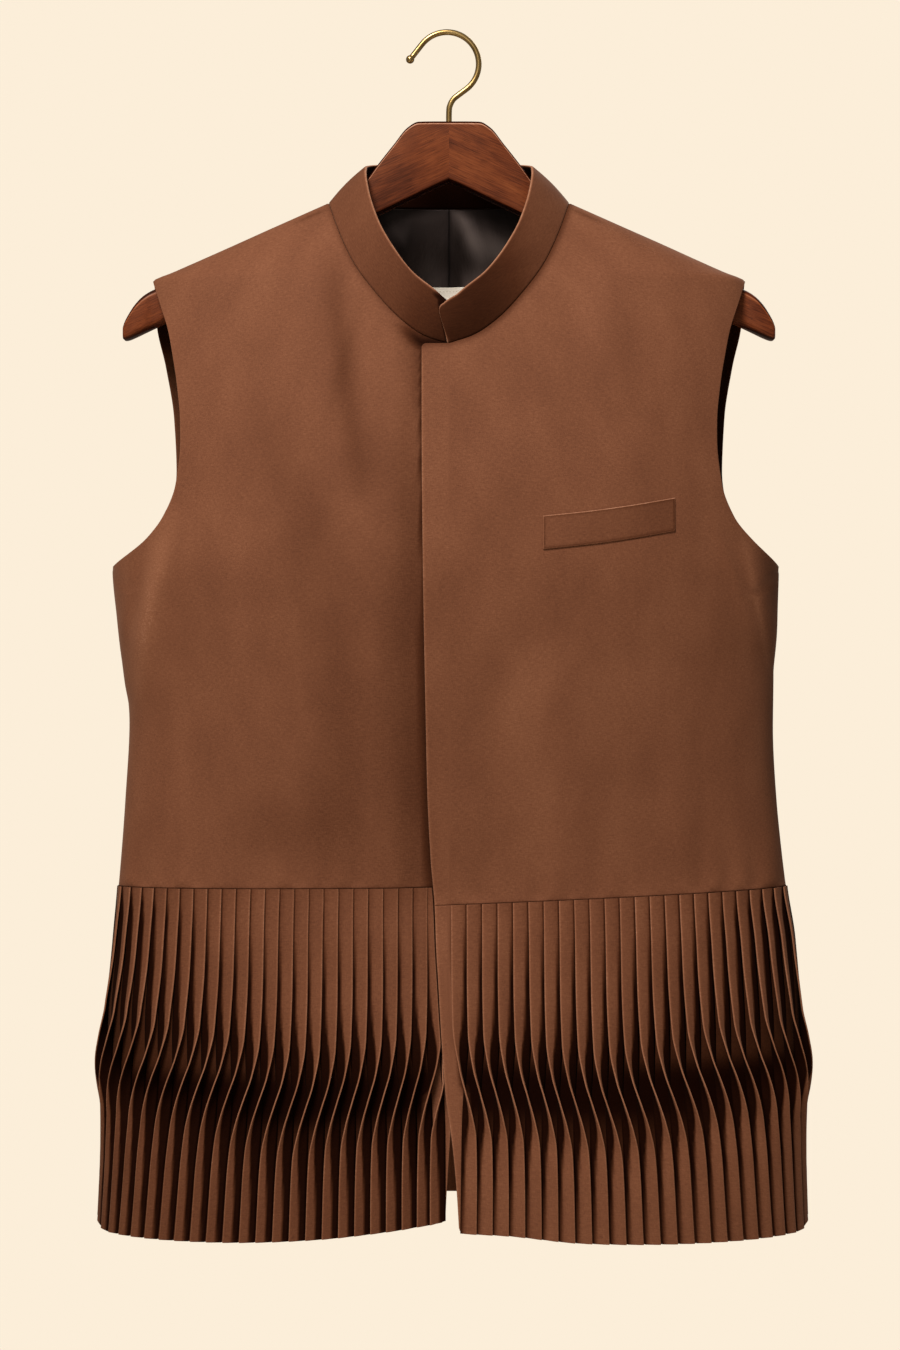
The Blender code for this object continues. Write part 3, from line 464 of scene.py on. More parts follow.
class Look(Nodes):  # a Principled material
    def __init__(self, name, color=(0.5, 0.5, 0.5), **sockets):
        self.material = bpy.data.materials.new(name)
        self.material.use_nodes = True
        super().__init__(self.material.node_tree)
        self.shader = self.tree.nodes["Principled BSDF"]
        self.set(Base_Color=(*color, 1), **sockets)

    def set(self, **sockets):  # the shader's own sockets, by value or by node
        for name, value in sockets.items():
            self.fill(self.shader.inputs[name.replace("_", " ")], value)

    def coordinates(self):
        return self.node("ShaderNodeTexCoord").outputs["Object"]

    def vector(self, name):  # a named attribute of the mesh
        return self.node("ShaderNodeAttribute", attribute_name=name).outputs["Vector"]

    def fac(self, name):
        return self.number("ShaderNodeAttribute", output="Fac", attribute_name=name)

    def noise(self, source, scale, detail=3.0, roughness=0.5):  # scale is for each direction
        place = self.node("ShaderNodeMapping", {"Vector": source, "Scale": scale}).outputs["Vector"]
        return self.number("ShaderNodeTexNoise", {"Vector": place, "Scale": 1.0, "Detail": detail,
                                                  "Roughness": roughness}, output="Fac")

    def ramp(self, source, stops):
        made = self.node("ShaderNodeValToRGB", {"Fac": source})
        band = made.color_ramp
        while len(band.elements) < len(stops):
            band.elements.new(0.5)
        for element, (place, color) in zip(band.elements, stops):
            element.position, element.color = place, (*color, 1)
        return made.outputs["Color"]

    def mapped(self, source, low, high, start=0.0, end=1.0):  # from start…end to low…high
        return self.node("ShaderNodeMapRange", {"Value": source, "From Min": start, "From Max": end,
                                                "To Min": low, "To Max": high}).outputs[0]

    def multiplied(self, a, b):
        return self.node("ShaderNodeMix", {"Factor": 1.0, 6: a, 7: b}, data_type="RGBA", blend_type="MULTIPLY"
                         ).outputs[2]

    def bump(self, height, strength, distance, **under):
        inputs = {"Height": height, "Strength": strength, "Distance": distance, **under}
        return self.node("ShaderNodeBump", inputs).outputs["Normal"]


def suitingLook():  # fine worsted: crossing threads, short slubs, broad unevenness, darker with painted shade and lighter with painted highlights
    look = Look("brownSuiting", Roughness=0.82, Sheen_Roughness=0.4, Sheen_Tint=(1.0, 0.66, 0.48, 1))
    grain, hollow = look.vector("grain"), look.fac("hollow")
    warp, weft = look.noise(grain, (1700, 420, 1), 2.0), look.noise(grain, (380, 1700, 1), 2.0)
    slubs, broad = look.noise(grain, (260, 760, 1)), look.noise(grain, (30, 19, 1))
    threads = 0.5 * warp + 0.5 * weft
    # painted highlights lift the colour's tone
    tone = 0.56 * threads + 0.2 * slubs + 0.24 * broad + 0.22 * look.fac("worn")
    color = look.ramp(tone, [(0.32, (0.120, 0.040, 0.018)), (0.50, (0.182, 0.065, 0.030)),
                             (0.68, (0.250, 0.098, 0.048)), (0.80, (0.35, 0.158, 0.090)),
                             (1.0, (0.56, 0.30, 0.19))])
    # painted shade darkens the colour and dims its sheen and specular
    deep = look.ramp(hollow, [(0.0, (1, 1, 1)), (0.5, (0.42, 0.345, 0.27)), (1.0, (0.045, 0.026, 0.018))])
    look.set(Base_Color=look.multiplied(color, deep), Sheen_Weight=look.mapped(hollow, 0.1, 0.0),
             Specular_IOR_Level=look.mapped(hollow, 0.2, 0.02),
             Normal=look.bump(threads, 0.45, 0.00014, Normal=look.bump(slubs, 0.2, 0.00025)))
    return look.material


def satinLook():  # charcoal satin with a soft directional gloss, its colour lifted by painted highlights
    look = Look("darkSatin", Roughness=0.42, Specular_IOR_Level=0.3, Specular_Tint=(1.0, 0.77, 0.74, 1),
                Anisotropic=0.3, Sheen_Weight=0.06, Sheen_Roughness=0.5)
    grain = look.vector("grain")
    fine, soft = look.noise(grain, (2200, 120, 1), 2.0), look.noise(grain, (26, 12, 1), 2.0)
    # painted highlights and a fine noise set how light the colour is
    paintedShine = 0.85 * look.fac("worn") + 0.22 * (fine - 0.5)
    look.set(Base_Color=look.ramp(paintedShine, [(0.0, (0.004, 0.0025, 0.002)), (0.25, (0.013, 0.0085, 0.007)),
                                          (0.55, (0.060, 0.045, 0.041)), (1.0, (0.14, 0.110, 0.100))]),
             Normal=look.bump(fine, 0.2, 0.00008, Normal=look.bump(soft, 0.4, 0.004)))
    return look.material


def labelLook():  # blank woven tape with fine ribs
    look = Look("creamTape", Roughness=0.62, Specular_IOR_Level=0.3, Sheen_Weight=0.15)
    ribs = look.noise(look.vector("grain"), (220, 2600, 1), 1.5)
    look.set(Base_Color=look.ramp(ribs, [(0.3, (0.88, 0.79, 0.67)), (0.7, (0.98, 0.91, 0.81))]),
             Normal=look.bump(ribs, 0.4, 0.00012))
    return look.material


def walnutLook():  # reddish walnut under varnish, its grain along each arm, with painted pale highlight lines and painted dark outlines on its edges
    look = Look("walnutWood", Roughness=0.45, Specular_Tint=(1.0, 0.72, 0.5, 1), Coat_Weight=0.05,
                Coat_Roughness=0.25)
    grain, worn = look.vector("grain"), look.fac("worn")
    wander = look.noise(grain, (7, 26, 26))
    bands = look.noise(look.plus(grain, look.times(wander, 0.02)), (6, 150, 90), 4.0, 0.7)
    blotches = look.noise(grain, (26, 60, 60), 2.0)
    fibres = look.noise(grain, (55, 1300, 900), 3.0, 0.6)
    pores = look.noise(grain, (110, 2600, 2000), 1.0)
    # painted highlight lines lift the tone, painted dark outlines lower it and take away the specular
    tone = 0.30 * bands + 0.32 * fibres + 0.38 * blotches + 0.5 * worn
    color = look.ramp(tone, [(0.34, (0.034, 0.007, 0.003)), (0.44, (0.100, 0.021, 0.008)),
                             (0.54, (0.175, 0.041, 0.013)), (0.68, (0.255, 0.068, 0.021)),
                             (1.0, (0.55, 0.30, 0.20))])
    dark = look.ramp(pores, [(0.34, (0.55, 0.5, 0.5)), (0.46, (1, 1, 1))])
    look.set(Base_Color=look.multiplied(color, dark), Normal=look.bump(fibres + pores, 0.16, 0.0002),
             Specular_IOR_Level=look.mapped(worn, 0.0, 0.2, -0.6, 0.0))
    return look.material


def brassLook():  # satin brass with a brown patina
    look = Look("agedBrass", Metallic=1.0)
    place = look.coordinates()
    patina, scuffs = look.noise(place, (90, 90, 90), 4.0, 0.6), look.noise(place, (900, 900, 900), 2.0)
    look.set(Base_Color=look.ramp(patina, [(0.3, (0.30, 0.185, 0.065)), (0.55, (0.50, 0.34, 0.135)),
                                           (0.75, (0.60, 0.43, 0.19))]),
             Roughness=look.mapped(patina, 0.34, 0.22), Normal=look.bump(scuffs, 0.12, 0.0001))
    return look.material


def threadLook(color):
    look = Look("creamThread", color, Roughness=0.55, Sheen_Weight=0.2)
    twist = look.noise(look.coordinates(), (2500, 2500, 2500), 1.0)
    dark = tuple(0.7 * part for part in color)
    look.set(Base_Color=look.ramp(twist, [(0.35, dark), (0.65, color)]))
    return look.material


suiting, satin, tape = suitingLook(), satinLook(), labelLook()
walnut, brass, thread = walnutLook(), brassLook(), threadLook((0.66, 0.58, 0.46))
print("materials ready")


# geometry node trees

socketKinds = {float: "NodeSocketFloat", int: "NodeSocketInt", type(None): "NodeSocketMaterial"}


class Tree(Nodes):  # a Geometry Nodes tree with named inputs
    def __init__(self, name, inputs):
        super().__init__(bpy.data.node_groups.new(name, "GeometryNodeTree"))
        sockets = self.tree.interface
        sockets.new_socket("Geometry", in_out="INPUT", socket_type="NodeSocketGeometry")
        sockets.new_socket("Geometry", in_out="OUTPUT", socket_type="NodeSocketGeometry")
        self.identifiers = {}
        for label, value in inputs.items():
            socket = sockets.new_socket(label, in_out="INPUT", socket_type=socketKinds[type(value)])
            if value is not None:
                socket.default_value = value
            self.identifiers[label] = socket.identifier
        self.source = self.tree.nodes.new("NodeGroupInput").outputs

    def given(self, label):  # one of the named inputs
        return Number(self, self.source[label])

    def named(self, name, kind="FLOAT"):  # an attribute of the points
        return self.number("GeometryNodeInputNamedAttribute", {"Name": name}, data_type=kind)

    def vector(self, name):
        return self.named(name, "FLOAT_VECTOR")

    def shape(self, kind, geometry, **inputs):
        return self.node("GeometryNode" + kind, {"Geometry": geometry, **inputs}).outputs["Geometry"]

    def store(self, geometry, kind="FLOAT", **values):
        for name, value in values.items():
            geometry = self.node("GeometryNodeStoreNamedAttribute", {
                "Geometry": geometry, "Name": name, "Value": value}, data_type=kind, domain="POINT"
            ).outputs["Geometry"]
        return geometry

    def finish(self, geometry, material):  # smooth, real and painted
        whole = self.shape("RealizeInstances", self.shape("SetShadeSmooth", geometry))
        painted = self.shape("SetMaterial", whole, Material=material)
        self.fill(self.tree.nodes.new("NodeGroupOutput").inputs["Geometry"], painted)

    def apply(self, source, values, look):  # the tree's result as a plain mesh
        maker = source.modifiers.new("maker", "NODES")
        maker.node_group = self.tree
        for label, value in values.items():
            maker[self.identifiers[label]] = value
        source.data.materials.append(look)
        mesh = plainMesh(source)
        bpy.data.objects.remove(source)
        return mesh


def plainMesh(made):  # what an object's modifiers make of it
    graph = bpy.context.evaluated_depsgraph_get()
    return bpy.data.meshes.new_from_object(made.evaluated_get(graph), preserve_all_data_layers=True,
                                           depsgraph=graph)


def stitchTree():  # short stitches along a line, flat on the cloth
    tree = Tree("stitchRun", {"Pitch": 0.003, "Stitch Length": 0.002, "Thread Radius": 0.0002,
                              "Unevenness": 0.15, "Seed": 3, "Thread": None})
    line = tree.node("GeometryNodeMeshToCurve", {"Mesh": tree.source["Geometry"]}).outputs["Curve"]
    dots = tree.node("GeometryNodeResampleCurve", {
        "Curve": line, "Length": tree.source["Pitch"]}, mode="LENGTH")
    ball = tree.node("GeometryNodeMeshUVSphere", {"Segments": 8, "Rings": 5, "Radius": 0.5}).outputs["Mesh"]
    turn = tree.node("FunctionNodeAlignRotationToVector", {
        "Vector": tree.node("GeometryNodeInputTangent").outputs[0]}, axis="X").outputs["Rotation"]
    turn = tree.node("FunctionNodeAlignRotationToVector", {
        "Rotation": turn, "Vector": tree.vector("outward")}, axis="Z", pivot_axis="X").outputs["Rotation"]
    uneven = tree.number("FunctionNodeRandomValue", {
        2: 1.0 - tree.given("Unevenness"), 3: 1.0, "Seed": tree.source["Seed"]}, output=1, data_type="FLOAT")
    width = tree.given("Thread Radius") * 2.0
    size = tree.node("ShaderNodeCombineXYZ", {0: tree.given("Stitch Length") * uneven, 1: width, 2: width})
    run = tree.node("GeometryNodeInstanceOnPoints", {
        "Points": dots.outputs["Curve"], "Instance": ball, "Rotation": turn, "Scale": size.outputs[0]})
    tree.finish(run.outputs["Instances"], tree.source["Thread"])
    return tree


def tuckTree():  # a folded tuck along each rail: it lies to the centre, stands, then lies outwards
    tree = Tree("tuckedSkirt", {"Fold Height": 0.0094, "Fold Thickness": 0.0012, "Bow": 0.0008,
                                "Root Ramp": 0.0048, "Profile Points": 28, "Gap Edge": 9.0, "Cloth": None})
    parts = tree.node("GeometryNodeSeparateGeometry", {
        "Geometry": tree.source["Geometry"], "Selection": tree.named("isRail", "BOOLEAN")}, domain="POINT")
    rails = tree.node("GeometryNodeMeshToCurve", {"Mesh": parts.outputs["Selection"]}).outputs["Curve"]
    loop = tree.node("GeometryNodeCurvePrimitiveCircle", {
        "Resolution": tree.source["Profile Points"], "Radius": 0.001}, mode="RADIUS").outputs["Curve"]
    around = tree.number("GeometryNodeSplineParameter", output="Factor")
    fromTip = tree.sums("ABSOLUTE", around * 2.0 - 1.0)
    loop = tree.store(loop, rise=tree.sums("SINE", (1.0 - fromTip) * (math.pi / 2)),
                      flank=tree.sums("SIGN", 0.5 - around))
    swept = tree.node("GeometryNodeCurveToMesh", {"Curve": rails, "Profile Curve": loop, "Fill Caps": True})
    rise, flank, lean = tree.named("rise"), tree.named("flank"), tree.named("lean")
    height, half = tree.given("Fold Height"), tree.given("Fold Thickness") * 0.5

    # the fold's section: how far along the fold, the half width that rounds off at the tip, a slight bow
    upright = (1.0 - lean * lean).root()
    tipStart = 1.0 - half / height
    intoTip = ((rise - tipStart) / (1.0 - tipStart)).atLeast(0.0)
    wide = half * flank * (1.0 - intoTip * intoTip).root()
    along = rise * height * tree.named("size")
    bow = rise * (1.0 - rise) * 4.0 * tree.given("Bow") * (lean * lean)
    low = (1.0 - rise * 2.2).atLeast(0.0)
    ramp = low * (lean * flank * -1.0).atLeast(0.0) * flank * tree.given("Root Ramp")
    aside = along * lean * tree.named("reach") + wide * upright + ramp
    outwards = along * upright + bow - wide * lean
    place = tree.vector("place")
    moved = tree.plus(place, tree.plus(tree.times(tree.vector("sideways"), aside),
                                       tree.times(tree.vector("outward"), outwards)))
    fold = tree.shape("SetPosition", swept.outputs["Mesh"], Position=moved)
    level = tree.node("ShaderNodeSeparateXYZ", {0: place}).outputs["Z"]
    threads = tree.node("ShaderNodeCombineXYZ", {0: tree.named("start") + along * flank, 1: level})
    fold = tree.store(fold, "FLOAT_VECTOR", grain=threads.outputs[0])

    # the colour: painted shade where the gaps open and at the root, a painted highlight on the crest
    gap = ((tree.named("open") - rise) * tree.given("Gap Edge")).atMost(0.97)
    crevice = ((1.0 - rise * 5.0) * 1.5).atMost(0.96).atLeast(0.0)
    crest = (rise * 9.0 - 8.0).atLeast(0.0)
    soft = low * 0.28 + tree.named("shade") * (1.0 - crest)
    fold = tree.store(fold, hollow=(gap.atLeast(crevice) + soft).atMost(0.97), worn=crest)
    whole = tree.node("GeometryNodeJoinGeometry", {"Geometry": parts.outputs["Inverted"]})
    tree.fill(whole.inputs["Geometry"], fold)
    tree.finish(whole.outputs["Geometry"], tree.source["Cloth"])
    return tree


stitches, tucks = stitchTree(), tuckTree()


def stitchRun(name, points, outward, look, values):
    mesh = bpy.data.meshes.new(name + "Line")
    mesh.from_pydata((points * mm).tolist(), [(k, k + 1) for k in range(len(points) - 1)], [])
    addValues(mesh, "outward", outward)
    return stitches.apply(linked(name + "Line", mesh), {**values, "Thread": look}, look)


# body panels

def outerPlace(face, side, row):  # the outer edge by row: shoulder seam, armhole and side seam
    shoulder = cut["shoulderRows"]
    share = np.clip((row - shoulder) / cut["armRows"], 0, 1)
    shoulderZ = mix(cut["neckPointZ"], cut["tipZ"], np.minimum(row / shoulder, 1))
    armZ = mix(cut["tipZ"], cut["underarmZ"], mix(share, smooth(share), 0.6))
    sideZ = mix(cut["underarmZ"], cut["hipSideZ"], (row - underarmRow) / cut["sideRows"])
    z = np.where(row <= shoulder, shoulderZ, np.where(row < underarmRow, armZ, sideZ))
    ends = [(float(sectionAt[side](level)), level) for level in (cut["tipZ"], cut["underarmZ"])]
    armX = steadyCurve([(level, x) for x, level in armholeEdges[face] + ends])(z)
    onArm = (row > shoulder) & (row < underarmRow)
    return np.where(onArm, armX, sectionAt[side](z)), z


def centreDrop(face, outerZ, row):  # how far down the centre line a row has come, from 0 to 1
    full = (outerZ - cut["neckPointZ"]) / (cut["hipSideZ"] - cut["neckPointZ"])
    if face == "back":
        return full
    middle, below = cut["centreDropAtUnderarm"], (row - underarmRow) / cut["sideRows"]
    return np.where(row <= underarmRow, middle * row / underarmRow, mix(middle, 1.0, below))


def panelPlace(face, side, row, share):  # x and z by row from the neck and share from the centre
    neckX, neckZ = neckPlace(face, share)
    outerX, outerZ = outerPlace(face, side, row)
    turn = np.sin(share * math.pi / 2)
    span = cut["hipSideZ"] - cut["neckPointZ"]
    drop = mix(centreDrop(face, outerZ, row), (outerZ - cut["neckPointZ"]) / span, share)
    z = mix(neckZ, hipZ(face, side, sectionAt[side](cut["hipSideZ"]) * turn), drop)
    width, neckEnd = sectionAt[side](cut["underarmZ"]), frontNeck[-1][0]
    fan = 1 - (1 - np.minimum(row / underarmRow, 1)) ** 2
    fan = mix(fan, (outerX - neckEnd) / (width - neckEnd), share ** 1.5)
    x = mix(neckX, width * turn, fan)
    evenly = np.minimum(x, outerX - cut["armSpread"] * (1 - share))  # lines stay apart by the armhole
    x = mix(x, evenly, smooth((row - cut["shoulderRows"]) / 0.6))
    return np.where(row >= underarmRow, sectionAt[side](z) * turn, x), z


def neckMitre(face, side, share, past=0.0):  # halfway between the body's and the collar's outsides
    step = 0.03
    share, past = np.broadcast_arrays(np.asarray(share, float), np.asarray(past, float))
    base = neckPoint(face, side, share, past)
    x, z = neckPlace(face, share)
    below = surfacePoint(face, side, (x - past) * 1.05, z - 5) - base
    toSide = sides[side] * (sectionAt[side](z - 5) - x)
    atPoint = np.stack([toSide, np.zeros_like(x), np.full_like(x, -5)], -1)
    before, after = (neckPoint(face, side, np.clip(share + turn, 0, 1)) for turn in (-step, step))
    run = np.where((past != 0)[..., None], (sides[side], 0, 0), after - before)
    ending = smooth((share - 0.9) / 0.1)[..., None]
    run = unit(mix(unit(run), np.array([0, -facings[face], 0.0]), ending))
    below = mix(below, atPoint, ending)
    mitre = np.zeros_like(base)
    for edge in (below, collarRim(face, side, share, past) - base):
        normal = unit(np.cross(run, edge))
        facing = (normal * np.stack([base[..., 0], base[..., 1], np.full_like(x, 25)], -1)).sum(-1)
        mitre += normal * np.sign(facing)[..., None]
    mitre[..., 0] = np.where((share == 0) & (past == 0), 0, mitre[..., 0])
    mitre[..., 1] = np.where(share == 1, 0, mitre[..., 1])
    return unit(mitre)


def panelGrid(face, side, rowCount, columnCount):
    rows = linesTo(rowCount, rimSteps(300), rimSteps(400)) * (underarmRow + cut["sideRows"])
    share = linesTo(columnCount, rimSteps(300) if face == "back" else [0.0, 0.004], rimSteps(120))
    x, z = panelPlace(face, side, *np.meshgrid(rows, share, indexing="ij"))
    top = neckMitre(face, side, share)
    if face == "front":
        leadX, leadZ = closureLead(side, z[:, :1])
        x, z = np.hstack((leadX, x)), np.hstack((leadZ, z))
        top = np.vstack((np.tile(neckMitre(face, side, 0.0, cut["mitrePast"]), (leadX.shape[1], 1)), top))
    grid = surfacePoint(face, side, x, z)
    normals = unit(mix(top, gridNormals(grid), smooth(rows / 0.25)[:, None, None]))
    onSeam = (rows > 0) & ((rows <= cut["shoulderRows"]) | (rows >= underarmRow))
    normals[onSeam, -1] = sideSeamNormals(grid, side)[onSeam]
    if face == "back":
        normals[:, 0, 0] = 0
        normals[:, 0] = unit(normals[:, 0])
    return grid, normals


def closureLead(side, centreZ):  # the stretch of a front between the centre line and its free edge
    edge = freeEdgeAt[side](centreZ)
    edge[-1] = freeEdgeAt[side](hipZ("front", side, edge[-1]))
    x = edge * (1 - linesTo(8, rimSteps(14), [0.0, 0.03])[:-1])
    z = np.repeat(centreZ, x.shape[1], axis=1)
    z[-1] = hipZ("front", side, x[-1])
    atTop = np.clip(1 - np.arange(len(z))[:, None] / cut["cornerRows"], 0, 1)
    return x, z - roundedBy(cut["frontCorner"], x - edge) * atTop


shadeAmounts = {  # painted shade: how much darker the cloth's colour is painted, from 0 to 1
    "underFront": 0.48, "reach": (60, 110),
    "lapCorner": 0.95, "lapTop": 0.34, "lapLow": 0.72, "lapEdge": 0.78,
    "underCollar": {"right": 0.25, "left": 0.5}, "inside": 0.8, "insideLit": 0.18, "litBelow": -208,
}
panels = {
    "front": {"rows": 165, "columns": 96, "flat": (0.29, 0.49), "area": 0.108},
    "back": {"rows": 150, "columns": 84, "flat": (0.27, 0.49), "area": 0.108},
}


def underFrontShade(x, z):  # painted shade beside and under the upper front
    reach = mix(*shadeAmounts["reach"], smooth((-300 - z) / 280))
    broad = shadeAmounts["underFront"] * smooth((reach + x) / reach) ** 1.8 * smooth((-212 - z) / 170)
    broad = broad * (1 - 0.5 * smooth((-500 - z) / 80))
    away = np.maximum(freeEdgeAt["left"](z) - x, 0)
    corner = shadeAmounts["lapCorner"] * nearTo(away, 14) * nearTo(z + 220 - away * 0.7, 7.5)
    top = shadeAmounts["lapTop"] * nearTo(away, 7) * smooth((z + 300) / 60)
    low = shadeAmounts["lapLow"] * nearTo(away, 6.5) * smooth((-340 - z) / 100)
    return np.maximum.reduce((broad, corner, top, low, shadeAmounts["lapEdge"] * nearTo(away, 1.7)))


def insideShade(face, side, z):  # light reaches in at the right armhole, below the hanger's end
    lit = smooth((shadeAmounts["litBelow"] - z) / 16) if (face, side) == ("back", "right") else 0.0
    return mix(shadeAmounts["inside"], shadeAmounts["insideLit"], lit)


def panelMarks(face, side, grid):  # painted highlights and painted shade of a panel's outside
    z = grid[..., 2]
    tone = foldHeight(face, side, grid[..., 0] * sides[side], z, lightShadeStrips)
    worn, shaded = np.maximum(tone, 0), np.maximum(-tone, 0)
    if face == "front":
        # painted highlight along the front's free edge
        worn = worn + edgeHighlight(grid, (1, False))
        # painted shadow just under the collar seam
        underCollar = shadeAmounts["underCollar"][side] * nearTo(lengthsAlong(grid, 0), 3.0)
        shaded = np.maximum(shaded, underCollar * smooth((z + 260) / 60))
    if (face, side) == ("front", "right"):
        # painted highlight along the outer edge above the underarm, and painted shade beside and under the
        # upper front
        worn = worn + 0.9 * edgeHighlight(grid, (1, True)) * smooth((z + 350) / 40)
        shaded = np.maximum(shaded, underFrontShade(grid[..., 0], z))
    return worn, shaded


def makePanels():
    grids = {}
    for face, plan in panels.items():
        for side in sides:
            grid, normals = grids[face, side] = panelGrid(face, side, plan["rows"], plan["columns"])
            worn, shaded = panelMarks(face, side, grid)
            # painted highlights and painted shade outside, painted shade inside
            mesh = shell(f"{face}{side.title()}", grid, normals, clothThickness["body"], hangingGrain(grid),
                         worn, (shaded, insideShade(face, side, grid[..., 2])))
            made = finishPiece(piece(f"{face}_{side}_cloth", mesh, suiting), "suiting", f"{face}_{side}")
    print("body panels ready")
    return grids


# collar

collar = {
    # its top edge: distance from the centre line, depth and height
    "top": [(0, -76, -194.1), (10, -74, -185), (25, -67, -171.9), (40.2, -55.5, -150.7), (49.3, -43, -131.9),
            (56.1, -24, -107.4), (57.7, -10.5, -95.4), (57.5, 0, -90.5)],
    "backY": 38.0, "backZ": -82.5, "underEnd": 9.0, "overEnd": 3.0, "crown": 1.2,
    "corner": 8.0, "cornerPower": 2.5, "height": 31.0, "endBlend": 11.0,
    "endShift": [(0.0, 1.8), (0.35, -0.4), (0.75, -3.4), (1.0, -4.2)],
    # painted shade: all over, low in front, over the closure, beside the lap, inside
    "shadeAmounts": {"all": 0.17, "low": 0.5, "over": 0.24, "lapEdge": 0.97, "besideLap": 0.55, "inside": 0.93},
}
collarTop, endShiftAt = curveAlong(collar["top"]), steadyCurve(collar["endShift"])


def collarRim(face, side, share, past=0.0):  # the collar's top edge, before its end is shaped
    share, past = np.broadcast_arrays(np.asarray(share, float), np.asarray(past, float))
    end = collar["top"][-1]
    if face == "back":
        turn = share * math.pi / 2
        return np.stack([sides[side] * end[0] * np.sin(turn), collar["backY"] * np.cos(turn),
                         mix(collar["backZ"], end[2], share ** 2)], -1)
    rim = collarTop(share)
    x = rim[..., 0] - past
    return np.stack([sides[side] * x, rim[..., 1] + lapDepth(face, side, x), rim[..., 2]], -1)


def cornerDrop(near):  # a soft, squarish corner: how far it falls, as a share of its radius
    return 1 - (1 - near ** collar["cornerPower"]) ** (1 / collar["cornerPower"])


def collarMarks(grid, base, rise, level, fromEnd):  # painted highlights and painted shade of the collar's outside
    deep, corner, inFront = collar["shadeAmounts"], collar["corner"], base[:, 1] < 0
    # painted highlights on the top edge and the over end
    worn = np.maximum(1.5 * edgeHighlight(grid, (0, True)), 2.0 * edgeHighlight(grid, (1, True)))
    low, over = nearTo(base[:, 0], 42) * inFront, nearTo(base[:, 0] - 34, 26) * inFront
    # painted shade all over, deepest low in front and over the closure
    paintedCollarShade = deep["all"] + deep["low"] * low * (1 - 0.2 * level) + deep["over"] * over
    aboveArc = np.clip((rise * collar["height"] - collar["height"] + corner) / corner, 0, 1)
    overEdge = endShiftAt(rise) - collar["overEnd"] + corner * cornerDrop(aboveArc)
    under = (fromEnd > 1e2) & (base[:, 1] < -20) & (grid[..., 0] > -40)
    away = np.where(under, np.maximum(overEdge - grid[..., 0], 0), 1e3)
    # painted shadow on the under collar's top beside the over end
    topDark = deep["lapEdge"] * smooth((rise - 0.78) / 0.12) * nearTo(away, 6.5, 4)
    worn = worn * (1 - topDark)
    paintedCollarShade = paintedCollarShade * (1 - 0.9 * np.minimum(worn, 1))
    # a painted dark line beside the over end
    besideLap = np.maximum(deep["lapEdge"] * nearTo(away, 2.2), deep["besideLap"] * nearTo(away, 5))
    return worn, np.maximum.reduce((paintedCollarShade, besideLap, topDark))


def makeCollar():
    quarter = np.linspace(0, 1, 60)
    front = np.linspace(0, 1, 70) ** 1.3
    tipSteps = np.array([0.0, 0.1, 0.35, 0.8, 1.5, 2.2])
    # from the hidden right end round the neck to the left end: shares along each quarter, and steps past it
    stations = [("front", "right", np.zeros(8), np.linspace(collar["underEnd"], 1.5, 8)),
                ("front", "right", front[:-1], np.zeros(69)), ("back", "right", quarter[:0:-1], np.zeros(59)),
                ("back", "left", quarter[:-1], np.zeros(59)), ("front", "left", front[:0:-1], np.zeros(69)),
                ("front", "left", np.zeros(7), np.concatenate(([0.0], collar["overEnd"] - tipSteps[::-1])))]
    base, rim, mitre = (np.concatenate([edge(*station) for station in stations])
                        for edge in (neckPoint, collarRim, neckMitre))
    fromEnd = np.full(len(base), 1e3)
    last = len(front) - 1 + 7
    fromEnd[-last:] = base[-last:, 0] + collar["overEnd"]
    level = linesOver(22, 38)[:, None]
    corner, height = collar["corner"], collar["height"]
    rise = level * (1 - corner * cornerDrop(1 - np.clip(fromEnd / corner, 0, 1)) / height)
    crown = collar["crown"] * np.sin(math.pi * rise)
    grid = base + (rim - base) * rise[..., None] + mitre * crown[..., None]
    grid[..., 0] += endShiftAt(rise) * smooth(1 - fromEnd / collar["endBlend"])
    normals = unit(mix(mitre, gridNormals(grid), smooth(level / 0.1)[..., None]))
    worn, shaded = collarMarks(grid, base, rise, level, fromEnd)
    # painted shade on its inside
    mesh = shell("collar", grid, normals, clothThickness["collar"], bandGrain(grid), worn,
                 (shaded, collar["shadeAmounts"]["inside"]))
    made = finishPiece(piece("collar_cloth", mesh, suiting), "suiting", "collar")
    print("collar ready")


# skirt

